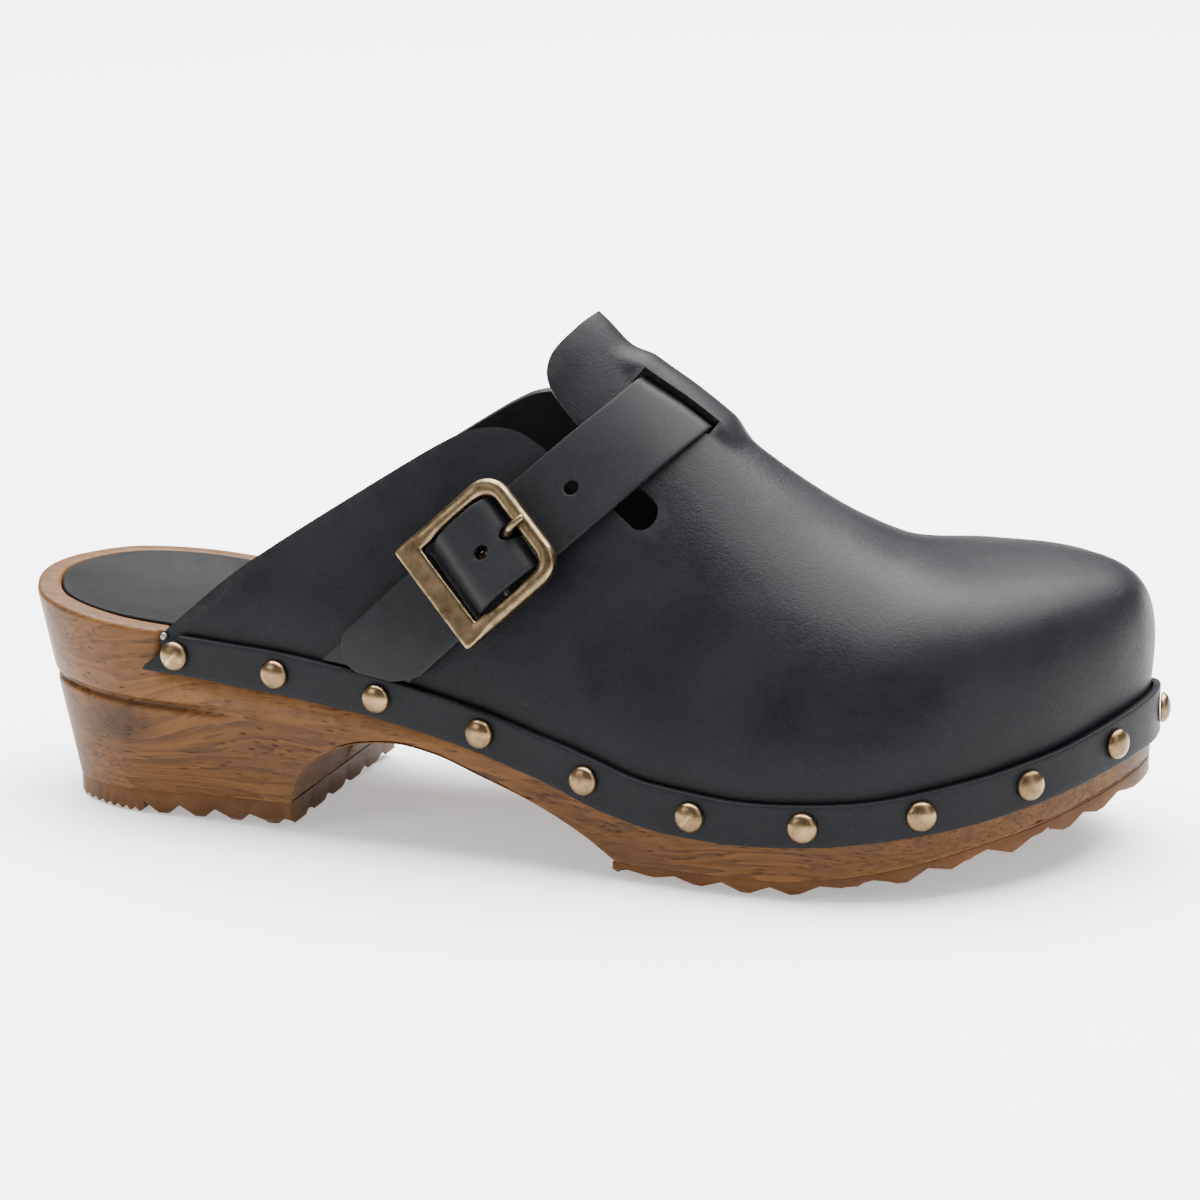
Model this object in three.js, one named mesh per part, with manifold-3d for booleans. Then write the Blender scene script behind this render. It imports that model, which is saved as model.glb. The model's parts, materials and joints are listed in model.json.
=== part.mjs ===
// Wooden clog for the right foot: wooden sole, rubber treads, insole, nailed one-piece leather
// upper with a leather rand, dome studs, and an instep strap held by a buckle.
// Millimetres. X runs from the back of the heel to the toe, Y to the wearer's left, Z up.
import * as THREE from 'three';
import { ParametricGeometry } from 'three/addons/geometries/ParametricGeometry.js';
import { mergeVertices } from 'three/addons/utils/BufferGeometryUtils.js';
import Module from 'manifold-3d';

const wasm = await Module();
wasm.setup();

// ---- driving dimensions ----
const LENGTH = 264.8;          // wooden sole, heel to toe
const WIDTH = 95.3;            // wooden sole, at the ball
const CLEARANCE = 0.3;         // gap between pieces that touch
const UPPER_THICK = 1.8;
const RAND_THICK = 1.8;
const RAND_PROUD = 0.1;        // rand's inner face outside the wood
const STRAP_THICK = 1.6;
const STRAP_WIDTH = 18.8;
const CHAPE_THICK = 0.9;
const CHAPE_WIDTH = STRAP_WIDTH - 1.8;
const TREAD_PITCH = 11;
const TREAD_TOOTH = 2.7;       // height of a cleat
const TREAD_LAND = 2;          // flat tip of a cleat
const HEEL_PITCH = 9;
const HEEL_TOOTH = 3;
const STUD_PITCH = 26.2;
const STUD_R = 3.4;
const STUD_H = 2.2;
const SHANK_R = 0.8;
const RIM = 5.8;               // wooden rim round the insole
const DISH = 2.6;              // how much the insole dips in the middle
const FOAM_THICK = 2.6;
const COVER_THICK = 1.2;
const BRIDGE_HALF = 6.5;       // half width of the bridge over the strap
const BRIDGE_RISE = 2.3;
const SLIT = 3;                // width of the two slits the strap passes through
const BUCKLE_LONG = 29.5;      // frame, along the strap
const ROD = 3.8;               // width and thickness of the frame's rods
const BUCKLE_PLAY = 1;         // between the strap's edge and the frame
const BUCKLE_WIDE = STRAP_WIDTH + 2 * (ROD + BUCKLE_PLAY);
const PLATE_WIDE = 5.6;        // flat plate on the frame's free end
const BAR_R = 0.9;
const BAR_DROP = 0.75;         // bar below the frame's middle plane
const PIVOT_GAP = 0.15;        // round the bar
const PRONG_R = 0.95;
const PLATE_HALF = 1.4;        // half the plate's thickness
const TAIL_LIFT = CLEARANCE + CHAPE_THICK + CLEARANCE;
const BUCKLE_LIFT = TAIL_LIFT + STRAP_THICK + 2 * PLATE_HALF;  // frame's middle plane
const PRONG_ROOM = 0.6;        // round the prong where it passes the strap
const HOLE_R = 1.5;            // strap holes

// Lengths are drawn for the nominal sole and stretched by these two shares.
const SX = LENGTH / 264.8;
const SY = WIDTH / 95.3;

// ---- materials ----
const paint = (color, roughness, metalness = 0) =>
  new THREE.MeshStandardMaterial({ color, roughness, metalness });
const WOOD = paint(0xa9794c, 0.55);
const RUBBER = paint(0x9a6a3f, 0.6);
const LEATHER = paint(0x2b2d33, 0.45);
const LINING = paint(0x1d1e21, 0.8);
const FOAM = paint(0x3a3a3a, 0.9);
const BRASS = paint(0xa98f5c, 0.35, 1);
const STEEL = paint(0x8c8a84, 0.4, 1);

// ---- small helpers ----
// Smooth monotone curve through pairs of (position, value).
function graph(pairs) {
  const x = pairs.map((p) => p[0]);
  const y = pairs.map((p) => p[1]);
  const n = x.length;
  const step = x.slice(1).map((v, i) => v - x[i]);
  const slope = step.map((h, i) => (y[i + 1] - y[i]) / h);
  const tangent = x.map((_, i) => {
    if (i === 0) return slope[0];
    if (i === n - 1) return slope[n - 2];
    if (slope[i - 1] * slope[i] <= 0) return 0;
    const a = 2 * step[i] + step[i - 1];
    const b = step[i] + 2 * step[i - 1];
    return (a + b) / (a / slope[i - 1] + b / slope[i]);
  });
  return (at) => {
    if (at <= x[0]) return y[0] + tangent[0] * (at - x[0]);
    if (at >= x[n - 1]) return y[n - 1] + tangent[n - 1] * (at - x[n - 1]);
    const i = x.findIndex((v) => v > at) - 1;
    const t = (at - x[i]) / step[i];
    const rise = y[i] * (1 + 2 * t) * (1 - t) ** 2 + y[i + 1] * t * t * (3 - 2 * t);
    return rise + step[i] * (tangent[i] * t * (1 - t) ** 2 - tangent[i + 1] * t * t * (1 - t));
  };
}
const along = (pairs) => graph(pairs.map(([x, v]) => [x * SX, v]));
const clamp = THREE.MathUtils.clamp;
const lerp = THREE.MathUtils.lerp;
const smooth = (from, to, v) => THREE.MathUtils.smoothstep(v, from, to);
const polygon = (points) => new THREE.Shape(points.map(([x, y]) => new THREE.Vector2(x, y)));

function toSolid(geometry) {
  const g = geometry.clone();
  g.deleteAttribute('normal');
  g.deleteAttribute('uv');
  const merged = mergeVertices(g, 1e-4);
  const triangles = [];
  const index = merged.index.array;
  for (let i = 0; i < index.length; i += 3) {
    const [a, b, c] = [index[i], index[i + 1], index[i + 2]];
    if (a !== b && b !== c && c !== a) triangles.push(a, b, c);
  }
  const position = Float32Array.from(merged.attributes.position.array);
  if (volume(position, triangles) < 0) triangles.reverse();
  return new wasm.Manifold(new wasm.Mesh({
    numProp: 3, vertProperties: position, triVerts: Uint32Array.from(triangles),
  }));
}

function volume(position, triangles) {
  const corner = (k) => new THREE.Vector3().fromArray(position, 3 * triangles[k]);
  let sum = 0;
  for (let i = 0; i < triangles.length; i += 3) {
    sum += corner(i).dot(corner(i + 1).cross(corner(i + 2)));
  }
  return sum;
}

function toGeometry(solid) {
  const mesh = solid.getMesh();
  const geometry = new THREE.BufferGeometry();
  geometry.setAttribute('position', new THREE.BufferAttribute(mesh.vertProperties, 3));
  geometry.setIndex(new THREE.BufferAttribute(mesh.triVerts, 1));
  geometry.computeVertexNormals();
  return geometry;
}

const clog = new THREE.Group();

function piece(name, solid, material) {
  const geometry = solid.isBufferGeometry ? solid : toGeometry(solid);
  const mesh = new THREE.Mesh(geometry, material);
  mesh.name = name;
  clog.add(mesh);
  return mesh;
}

// Prism of a side view drawn in X and Z, from y0 to y1.
function sidePrism(points, y0 = -90, y1 = 90) {
  const geometry = new THREE.ExtrudeGeometry(polygon(points), { depth: y1 - y0, bevelEnabled: false });
  return toSolid(geometry.rotateX(Math.PI / 2).translate(0, y1, 0));
}

// Skin through rings of points; each ring is closed and the two ends are pinched shut.
function loft(rings) {
  const around = rings[0].length;
  const middle = (ring) => ring.reduce((sum, p) => sum.add(p), new THREE.Vector3())
    .divideScalar(around);
  const all = [rings[0].map(() => middle(rings[0])), ...rings,
    rings[0].map(() => middle(rings[rings.length - 1]))];
  return new ParametricGeometry((u, v, target) => {
    const ring = all[Math.round(v * (all.length - 1))];
    target.copy(ring[Math.round(u * around) % around]);
  }, around, all.length - 1);
}

// Profile line turned into a list of points at even steps.
function trace(fn, from, to, steps) {
  return Array.from({ length: steps + 1 }, (_, i) => {
    const x = lerp(from, to, i / steps);
    return [x, fn(x)];
  });
}

// ---- plan outline of the sole ----
const OUTER_SIDE = [[0, 0], [3, -13.5], [12, -26.6], [30, -34.4], [55, -35.2], [85, -37.4],
  [115, -39.5], [145, -43], [172, -46.4], [195, -47.5], [215, -44.6], [233, -36.2],
  [248, -22.6], [258.6, -7], [263.8, 6]];
const TOE_TIP = [264.8, 16];
const INNER_SIDE = [[263, 24], [257, 31.7], [247, 39.7], [233, 45.2], [215, 47.8], [195, 47.2],
  [172, 44.7], [145, 40.2], [115, 36.2], [85, 34.4], [55, 34.2], [30, 34.4], [12, 26.6],
  [3, 13.5]];
const planCurve = new THREE.CatmullRomCurve3(
  [...OUTER_SIDE, TOE_TIP, ...INNER_SIDE].map(([x, y]) => new THREE.Vector3(x * SX, y * SY, 0)),
  true, 'catmullrom', 0.5);
const TOE_AT = OUTER_SIDE.length / (OUTER_SIDE.length + 1 + INNER_SIDE.length);
const plan = Array.from({ length: 600 }, (_, i) => {
  const point = planCurve.getPoint(i / 600);
  const ahead = planCurve.getPoint((i / 600 + 1e-3) % 1);
  const behind = planCurve.getPoint((i / 600 + 1 - 1e-3) % 1);
  const tangent = ahead.sub(behind).normalize();
  return { point, normal: new THREE.Vector3(tangent.y, -tangent.x, 0) };
});
const offset = (entry, d) => entry.point.clone().addScaledVector(entry.normal, d);

// Stations at even spacing along one side of the plan, from x = start to the toe tip.
function sideStations(entries, start, count) {
  const from = entries.findIndex((e) => e.point.x >= start);
  const list = entries.slice(from);
  const length = [0];
  for (let i = 1; i < list.length; i++) {
    length.push(length[i - 1] + list[i].point.distanceTo(list[i - 1].point));
  }
  return Array.from({ length: count + 1 }, (_, k) => {
    const want = (length[length.length - 1] * k) / count;
    const i = clamp(length.findIndex((v) => v >= want), 1, list.length - 1);
    const t = (want - length[i - 1]) / (length[i] - length[i - 1]);
    return {
      point: list[i - 1].point.clone().lerp(list[i].point, t),
      normal: list[i - 1].normal.clone().lerp(list[i].normal, t).normalize(),
    };
  });
}
const toeIndex = Math.round(TOE_AT * 600);
const outerEntries = plan.slice(0, toeIndex + 1);
const innerEntries = [...plan.slice(toeIndex), plan[0]].reverse();

// ---- side-view lines ----
const FEATHER = along([[0, 51.2], [48, 46.2], [69, 45], [94, 42.2], [119, 37.5], [146, 30.3],
  [168, 24], [191, 22], [212, 23], [232, 26.3], [250, 30.4], [266, 36.4]]);
const RAND_LOW = along([[40, 37.6], [68, 35.1], [94, 32.4], [118, 27.8], [140, 21.7], [157, 15.8],
  [173, 12.8], [188, 12.2], [202, 12.8], [223, 15], [247, 19.4], [266, 25]]);
const TIP_LINE = along([[158, 0], [195, 0], [205, 0.9], [215, 2.3], [225, 4.2], [238, 7.4],
  [250, 10.2], [266, 15.8]]);
const TREAD_THICK = 4;
const HEEL_RUBBER = 6;
const BREAST_X = 75 * SX;
const FORE_X = 158 * SX;
const heelTop = (x) => lerp(4.6, HEEL_RUBBER + 0.9, clamp(x / BREAST_X, 0, 1));
const soleLow = (x) => TIP_LINE(x) + TREAD_THICK;
const ARCH = [[76.5, 12], [80, 16.8], [86, 21], [94, 23.9], [104, 25.1], [113, 23.8], [124, 20.2],
  [138, 15.2], [150, 9.3]];
const randMiddle = (x) => (FEATHER(x) + RAND_LOW(x)) / 2;
const skirtLow = (x) => RAND_LOW(x) + 1.5;
const RAND_BACK = [[41.5, 37.4], [49.8, 46]];
const UPPER_BACK = 45.2 * SX;

// ---- wooden sole ----
const GROOVE_Z = 29.8;
const BOTTOM_Z = -3;
const TAPER = along([[0, 0.185], [40, 0.13], [75, 0.1], [112, 0.03], [264, 0.03]]);
const grooveAt = (x) => Math.min(GROOVE_Z, 0.6 * FEATHER(x));

function woodRings(count) {
  const ring = (level, extra) => Array.from({ length: count }, (_, i) => {
    const entry = plan[Math.round((i * plan.length) / count)];
    const x = entry.point.x;
    const z = level(x);
    const inset = (FEATHER(x) - z) * TAPER(x) + extra(x);
    return offset(entry, -inset).setZ(z);
  });
  const groove = (x) => 1.2 * (1 - smooth(50, 66, x / SX));
  const rim = (x) => 1 - smooth(42, 48, x / SX);
  const none = () => 0;
  return [
    ring(() => BOTTOM_Z, none),
    ring((x) => grooveAt(x) - 1.4, none),
    ring(grooveAt, groove),
    ring((x) => grooveAt(x) + 1.4, none),
    ring((x) => FEATHER(x) - 2.4, none),
    ring((x) => FEATHER(x) - 0.7, (x) => 0.7 * rim(x)),
    ring(FEATHER, (x) => 2.2 * rim(x)),
  ];
}
const woodBlank = toSolid(loft(woodRings(75)));

// Prism between two offsets of the plan; null means solid inside.
function planPrism(d, z0, z1, count = 100) {
  const ring = (z) => Array.from({ length: count }, (_, i) =>
    offset(plan[Math.round((i * plan.length) / count) % plan.length], d).setZ(z));
  return toSolid(loft([ring(z0), ring(z1)]));
}

// Block inside the plan whose dished top lies a given depth below the feather line.
function dishedBlock(inset, depth, count = 48) {
  const centre = new THREE.Vector3(135 * SX, 0, 0);
  const ring = (share, level) => Array.from({ length: count }, (_, i) => {
    const edge = offset(plan[Math.round((i * plan.length) / count)], -inset);
    const p = centre.clone().lerp(edge, share);
    return p.setZ(level(p.x) - DISH * (1 - share ** 2));
  });
  const shares = [1, 0.82, 0.6, 0.3];
  return toSolid(loft([
    ring(1, () => -60), ...shares.map((share) => ring(share, (x) => FEATHER(x) - depth)),
  ]));
}

// Layer of even thickness between two depths.
function dished(inset, depth, thick) {
  return dishedBlock(inset, depth).subtract(dishedBlock(inset, depth + thick));
}

const COVER_DROP = -0.4;         // the insole stands this much above the rim
const FOAM_TOP = COVER_DROP + COVER_THICK + CLEARANCE;
const HOLLOW = FOAM_TOP + FOAM_THICK + CLEARANCE;

function soleProfile() {
  return [
    [-5, heelTop(-5)], ...trace(heelTop, 5 * SX, BREAST_X, 3),
    ...ARCH.map(([x, z]) => [x * SX, z]),
    ...trace(soleLow, FORE_X, 268 * SX, 14), [275 * SX, 80], [-5, 80],
  ];
}

const UPPER_GAP = CLEARANCE - RAND_PROUD;      // upper's outer face inside the wood's face
const coreInset = UPPER_GAP + UPPER_THICK + CLEARANCE;

function rebate() {
  const ring = planPrism(12, -5, 90).subtract(planPrism(-coreInset, -6, 91));
  const line = trace((x) => skirtLow(x) - CLEARANCE, UPPER_BACK - CLEARANCE, 272 * SX, 26);
  return ring.intersect(sidePrism([...line, [285 * SX, 95], [UPPER_BACK - CLEARANCE, 95]]));
}

// ---- studs ----
function rimPath() {
  const start = 49 * SX;
  const outer = outerEntries.filter((e) => e.point.x >= start);
  const inner = innerEntries.filter((e) => e.point.x >= start).reverse();
  return [...outer, ...inner.slice(1)];
}
const randOuter = RAND_PROUD + RAND_THICK;

function studPlaces() {
  const path = rimPath();
  const length = [0];
  for (let i = 1; i < path.length; i++) {
    length.push(length[i - 1] + offset(path[i], randOuter).distanceTo(offset(path[i - 1], randOuter)));
  }
  const total = length[length.length - 1];
  const count = Math.round(total / STUD_PITCH) + 1;
  return Array.from({ length: count }, (_, k) => {
    const want = (total * k) / (count - 1);
    const entry = path[clamp(length.findIndex((v) => v >= want - 1e-6), 0, path.length - 1)];
    return { at: offset(entry, randOuter).setZ(randMiddle(entry.point.x)), normal: entry.normal };
  });
}
const studs = studPlaces();

// Body turned about Z and laid along a horizontal outward normal.
function standOut(geometry, at, normal) {
  const turn = new THREE.Quaternion().setFromUnitVectors(new THREE.Vector3(0, 1, 0), normal);
  return geometry.applyQuaternion(turn).translate(at.x, at.y, at.z);
}

// The shank stops in the wood, short of the hollow for the insole.
const shankLength = randOuter + RIM - 3 * CLEARANCE;

function studGeometry() {
  const dome = Array.from({ length: 5 }, (_, i) => {
    const a = (Math.PI / 2) * (1 - i / 4);
    return new THREE.Vector2(STUD_R * Math.cos(a), CLEARANCE + 0.3 + (STUD_H - 0.3) * Math.sin(a));
  });
  dome[0].x = 0;
  const foot = CLEARANCE - shankLength;
  return new THREE.LatheGeometry([...dome, new THREE.Vector2(STUD_R, CLEARANCE),
    new THREE.Vector2(SHANK_R, CLEARANCE), new THREE.Vector2(SHANK_R, foot + 1),
    new THREE.Vector2(0, foot)], 10);
}

const HOLE_SIDES = 6;

function shankHole(stud) {
  const r = (SHANK_R + CLEARANCE) / Math.cos(Math.PI / HOLE_SIDES);
  const hole = new THREE.CylinderGeometry(r, r, shankLength + 2, HOLE_SIDES);
  hole.translate(0, 2 - (shankLength + 2) / 2, 0);
  return toSolid(standOut(hole, stud.at, stud.normal));
}
const shankHoles = studs.map(shankHole).reduce((sum, hole) => sum.add(hole));

// ---- corner nails at the upper's back corners ----
const NAIL_R = 0.9;
const nailPlaces = [outerEntries, innerEntries].map((side) => {
  const entry = side.find((e) => e.point.x >= 46 * SX);
  return { at: offset(entry, -UPPER_GAP).setZ(FEATHER(entry.point.x) - 1), normal: entry.normal };
});

const NAIL_LONG = RIM - 4 * CLEARANCE;

function nailGeometry() {
  const half = 0.5 * NAIL_R;
  return new THREE.LatheGeometry([[0, 1], [0.6 * NAIL_R, 0.85], [NAIL_R, CLEARANCE],
    [half, CLEARANCE], [half, 0.6 - NAIL_LONG], [0, -NAIL_LONG]]
    .map(([r, y]) => new THREE.Vector2(r, y)), 10);
}

function nailHole(nail) {
  const r = 0.5 * NAIL_R + CLEARANCE;
  const hole = new THREE.CylinderGeometry(r, r, NAIL_LONG + 2, 8).translate(0, 2 - CLEARANCE - NAIL_LONG / 2 - 1, 0);
  return toSolid(standOut(hole, nail.at, nail.normal));
}
const nailHoles = nailPlaces.map(nailHole).reduce((sum, hole) => sum.add(hole));

function woodenSole() {
  const hollow = dished(RIM, -60, 60 + HOLLOW);
  return woodBlank.intersect(sidePrism(soleProfile())).subtract(rebate()).subtract(hollow)
    .subtract(shankHoles).subtract(nailHoles);
}

// ---- rubber treads ----
// Row of cleats with flat tips, drawn in X and Z below a base line.
function cleats(tip, from, to, pitch, height, land) {
  const points = [];
  const count = Math.max(1, Math.round((to - from) / pitch));
  const step = (to - from) / count;
  for (let i = 0; i < count; i++) {
    const x = from + i * step;
    const side = (step - land) / 2;
    points.push([x, tip(x) + height], [x + side, tip(x + side)], [x + side + land, tip(x + side + land)]);
  }
  return [...points, [to, tip(to) + height]];
}

// Groove along the sole, following its tip line; deepest in the middle.
function groove(y, tip, from, to, height, pitch, land) {
  const half = (pitch - land) / 2;
  const rings = trace(tip, from, to, 16).map(([x, z]) => [
    new THREE.Vector3(x, y - half - 0.6, z - 0.6 * (height / half)),
    new THREE.Vector3(x, y, z + height),
    new THREE.Vector3(x, y + half + 0.6, z - 0.6 * (height / half)),
  ]);
  return toSolid(loft(rings));
}

function grooves(tip, from, to, height, pitch, land) {
  const count = Math.ceil(WIDTH / pitch / 2);
  const rows = Array.from({ length: 2 * count }, (_, i) => (i - count + 0.5) * pitch);
  return rows.map((y) => groove(y, tip, from, to, height, pitch, land)).reduce((a, b) => a.add(b));
}

const HEEL_FINE_END = 36;

function heelTread() {
  const flat = () => 0;
  const fineTip = () => 0.4;
  const split = HEEL_FINE_END * SX;
  const profile = [
    ...cleats(fineTip, -4, split, 2.6, 1, 0.6),
    ...cleats(flat, split, BREAST_X + CLEARANCE, HEEL_PITCH, HEEL_TOOTH, TREAD_LAND),
    ...trace((x) => heelTop(x) - CLEARANCE, BREAST_X + CLEARANCE, -4, 6),
  ];
  return woodBlank.intersect(sidePrism(profile))
    .subtract(grooves(flat, split - 1, BREAST_X + 4, HEEL_TOOTH, TREAD_PITCH, TREAD_LAND));
}

const TOE_FINE_START = 250;

function forefootTread() {
  const split = TOE_FINE_START * SX;
  const end = 268 * SX;
  const fineTip = (x) => TIP_LINE(x) + 0.4;
  const profile = [
    ...cleats(TIP_LINE, FORE_X + 3, split, TREAD_PITCH, TREAD_TOOTH, TREAD_LAND),
    ...cleats(fineTip, split, end, 5.5, 1.6, 1.2),
    ...trace((x) => soleLow(x) - CLEARANCE, end, FORE_X - 1, 14),
  ];
  return woodBlank.intersect(sidePrism(profile))
    .subtract(grooves(TIP_LINE, FORE_X - 2, split + 1, TREAD_TOOTH - 0.2, TREAD_PITCH, TREAD_LAND));
}

// ---- form of the upper ----
const RIDGE_Z = along([[40, 112], [80, 128], [110, 129], [128, 126], [140, 118.5], [150, 108.5],
  [162, 100], [175, 89.5], [188, 80], [200, 73], [212, 67.8], [224, 66], [240, 67]]);
const RIDGE_Y = along([[40, 0], [120, 1], [160, 3], [200, 6], [235, 11]]);
const BULGE = along([[40, 1], [90, 0.97], [120, 0.95], [150, 0.98], [180, 1.03], [210, 1.05],
  [232, 1.08], [264, 1.08]]);
const WALL = along([[40, 0.4], [90, 0.4], [120, 0.38], [150, 0.42], [180, 0.5], [210, 0.64],
  [232, 0.85], [264, 0.85]]);
const CROWN = along([[40, 0.35], [90, 0.33], [120, 0.3], [150, 0.34], [180, 0.45], [210, 0.62],
  [232, 0.92], [264, 0.92]]);
const FORM_START = 36 * SX;
const TOE_BEND_X = 195 * SX;
const TOE_BEND = 0.00675 / SX;
const STATIONS = 96;
const outerLine = sideStations(outerEntries, FORM_START, STATIONS);
const innerLine = sideStations(innerEntries, FORM_START, STATIONS);
const ridgeX = (x) => (x > TOE_BEND_X ? x - TOE_BEND * (x - TOE_BEND_X) ** 2 : x);

function station(line, s) {
  const at = clamp(s, 0, 1) * STATIONS;
  const i = Math.min(Math.floor(at), STATIONS - 1);
  const t = at - i;
  return {
    point: line[i].point.clone().lerp(line[i + 1].point, t),
    normal: line[i].normal.clone().lerp(line[i + 1].normal, t).normalize(),
  };
}

// Point of the form: s runs from back to toe, t from -1 (outer feather) over 0 (ridge) to 1.
function form(s, t, lift = 0) {
  const outer = station(outerLine, s);
  const inner = station(innerLine, s);
  const x = (outer.point.x + inner.point.x) / 2;
  const side = t < 0 ? outer : inner;
  const foot = offset(side, lift - UPPER_GAP);
  const low = FEATHER(side.point.x);
  const rx = ridgeX(x);
  const slope = RIDGE_Z(rx + 0.5) - RIDGE_Z(rx - 0.5);
  const steep = Math.hypot(1, slope);
  const top = new THREE.Vector3(rx - (lift * slope) / steep, RIDGE_Y(rx) * SY, RIDGE_Z(rx) + lift / steep);
  const k = 1 - Math.abs(t);
  const j = 1 - k;
  const reach = j ** 3 + 3 * j * j * k * BULGE(x) + 3 * j * k * k * CROWN(x);
  const height = 3 * j * j * k * WALL(x) + 3 * j * k * k + k ** 3;
  return new THREE.Vector3(lerp(top.x, foot.x, reach), lerp(top.y, foot.y, reach),
    lerp(low, top.z, height));
}

// Direction of the strap in side view, and its middle line.
const STRAP_DIR = new THREE.Vector2(0.738, 0.674).normalize();
const STRAP_MID = [126.5 * SX, 68.2];
const acrossStrap = (p) => -(p.x - STRAP_MID[0]) * STRAP_DIR.y + (p.z - STRAP_MID[1]) * STRAP_DIR.x;
const alongStrap = (p) => (p.x - STRAP_MID[0]) * STRAP_DIR.x + (p.z - STRAP_MID[1]) * STRAP_DIR.y;
const strapHalf = STRAP_WIDTH / 2;

// How far the bridge stands up over the strap.
function bridgeRise(p) {
  const away = Math.abs(p.y - RIDGE_Y(p.x) * SY);
  const across = Math.abs(acrossStrap(p));
  const inStrap = 1 - smooth(strapHalf + 1, strapHalf + 9, across);
  return BRIDGE_RISE * inStrap * (1 - smooth(BRIDGE_HALF, BRIDGE_HALF + SLIT, away));
}

const ROWS = [0, 0.14, 0.3, 0.46, 0.62, 0.74, 0.82, 0.87, 0.92, 0.96];
const ROUND = [...ROWS.map((k) => k - 1), 0, ...ROWS.slice().reverse().map((k) => 1 - k)];
const SECTIONS = 34;

function formSolid(lift, drop) {
  const rings = Array.from({ length: SECTIONS + 1 }, (_, i) => {
    const s = i / SECTIONS;
    const ring = ROUND.map((t) => {
      const p = form(s, t, lift);
      p.z += bridgeRise(form(s, t)) * 0.85;
      p.x += bridgeRise(form(s, t)) * 0.5;
      return p;
    });
    const low = (p) => p.clone().setZ(skirtLow(p.x) - drop);
    return [low(ring[0]), ...ring, low(ring[ring.length - 1])];
  });
  return toSolid(loft(rings));
}

const TOPLINE = [[47.3, 47.4], [61.8, 59.6], [74, 68.3], [91.6, 79.6], [104.9, 88], [112, 92.2],
  [118, 95], [124.5, 96], [130, 95.2], [134.5, 93], [137.4, 91.1]];
const TAB = [[143.6, 96.1], [139.6, 100], [136.1, 103.6], [134.2, 107], [134.2, 110.5],
  [135.6, 113.2], [138, 116], [141, 119], [150, 131]];
const SLOT_END = [159.6, 79.1];
const SLOT_R = 3.3;

function openingPrism() {
  const [cx, cz] = SLOT_END;
  const tilt = Math.atan2(-STRAP_DIR.x, STRAP_DIR.y);
  const arc = Array.from({ length: 9 }, (_, i) => {
    const a = tilt - 0.15 - Math.PI / 2 + (Math.PI * i) / 8;
    return [cx + SLOT_R * Math.cos(a + 0.25), cz + SLOT_R * Math.sin(a + 0.25)];
  });
  const stretch = ([x, z]) => [x * SX, z];
  return sidePrism([[10, 25], [UPPER_BACK, 25], [UPPER_BACK, 46],
    ...[...TOPLINE, ...arc, ...TAB].map(stretch), [150 * SX, 180], [10, 180]]);
}

function slits() {
  const half = strapHalf + 0.7;
  const turn = Math.atan2(STRAP_DIR.y, STRAP_DIR.x);
  const middleX = 160.5 * SX;
  return [-1, 1].map((side) => {
    const box = new THREE.BoxGeometry(40, SLIT, 2 * half).rotateY(-turn);
    const y = RIDGE_Y(middleX) * SY + side * (BRIDGE_HALF + SLIT / 2);
    return toSolid(box.translate(middleX, y, 98.8));
  }).reduce((a, b) => a.add(b));
}

function upper() {
  const shell = formSolid(0, 0).subtract(formSolid(-UPPER_THICK, 12));
  return shell.subtract(openingPrism()).subtract(slits()).subtract(strapRoom())
    .subtract(shankHoles).subtract(nailHoles);
}

function rand() {
  const ring = planPrism(randOuter, 0, 60, 120).subtract(planPrism(RAND_PROUD, -1, 61, 120));
  const back = RAND_BACK.map(([x, z]) => [x * SX, z]);
  const low = trace(RAND_LOW, 50 * SX, 275 * SX, 26);
  const top = trace(FEATHER, 275 * SX, 50 * SX, 26);
  return ring.intersect(sidePrism([back[0], ...low, ...top, back[1]])).subtract(shankHoles);
}

// ---- strap and chape ----
// Point of the form where it crosses the strap's line w, at section parameter t.
function onForm(w, t) {
  let low = 0;
  let high = 1;
  for (let i = 0; i < 30; i++) {
    const s = (low + high) / 2;
    if (acrossStrap(form(s, t)) > w) low = s;
    else high = s;
  }
  const s = (low + high) / 2;
  const point = form(s, t);
  const du = form(Math.min(s + 0.01, 1), t).sub(form(s - 0.01, t));
  const dt = form(s, t + 0.01).sub(form(s, t - 0.01));
  return { point, normal: du.cross(dt).normalize() };
}

const BAR_LIFT = BUCKLE_LIFT - BAR_DROP;
const eyeR = BAR_R + PIVOT_GAP + CHAPE_THICK;
const humpLift = BAR_LIFT + eyeR + 3 * CLEARANCE;
const LOW_LIFT = CLEARANCE + 0.1;
const LIFT_LINE = graph([[-42, TAIL_LIFT], [-20, TAIL_LIFT], [-9, TAIL_LIFT], [-5.5, humpLift - 2.4],
  [-2.8, humpLift - 0.3], [0, humpLift], [3.5, humpLift - 0.3], [6, humpLift - 1.2],
  [8, humpLift - 2.9], [10, LOW_LIFT + 1.2], [12, LOW_LIFT + 0.2], [16, LOW_LIFT], [60, LOW_LIFT]]);

// Height of the strap's underside above the upper.
function strapLift(p) {
  const flank = p.y < RIDGE_Y(p.x) * SY ? LIFT_LINE(alongStrap(p)) : LOW_LIFT;
  const away = Math.abs(p.y - RIDGE_Y(p.x) * SY);
  const under = 1 - smooth(BRIDGE_HALF - 0.5, BRIDGE_HALF + SLIT + 1, away);
  return lerp(flank, CLEARANCE / 2 - UPPER_THICK, under);
}

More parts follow.
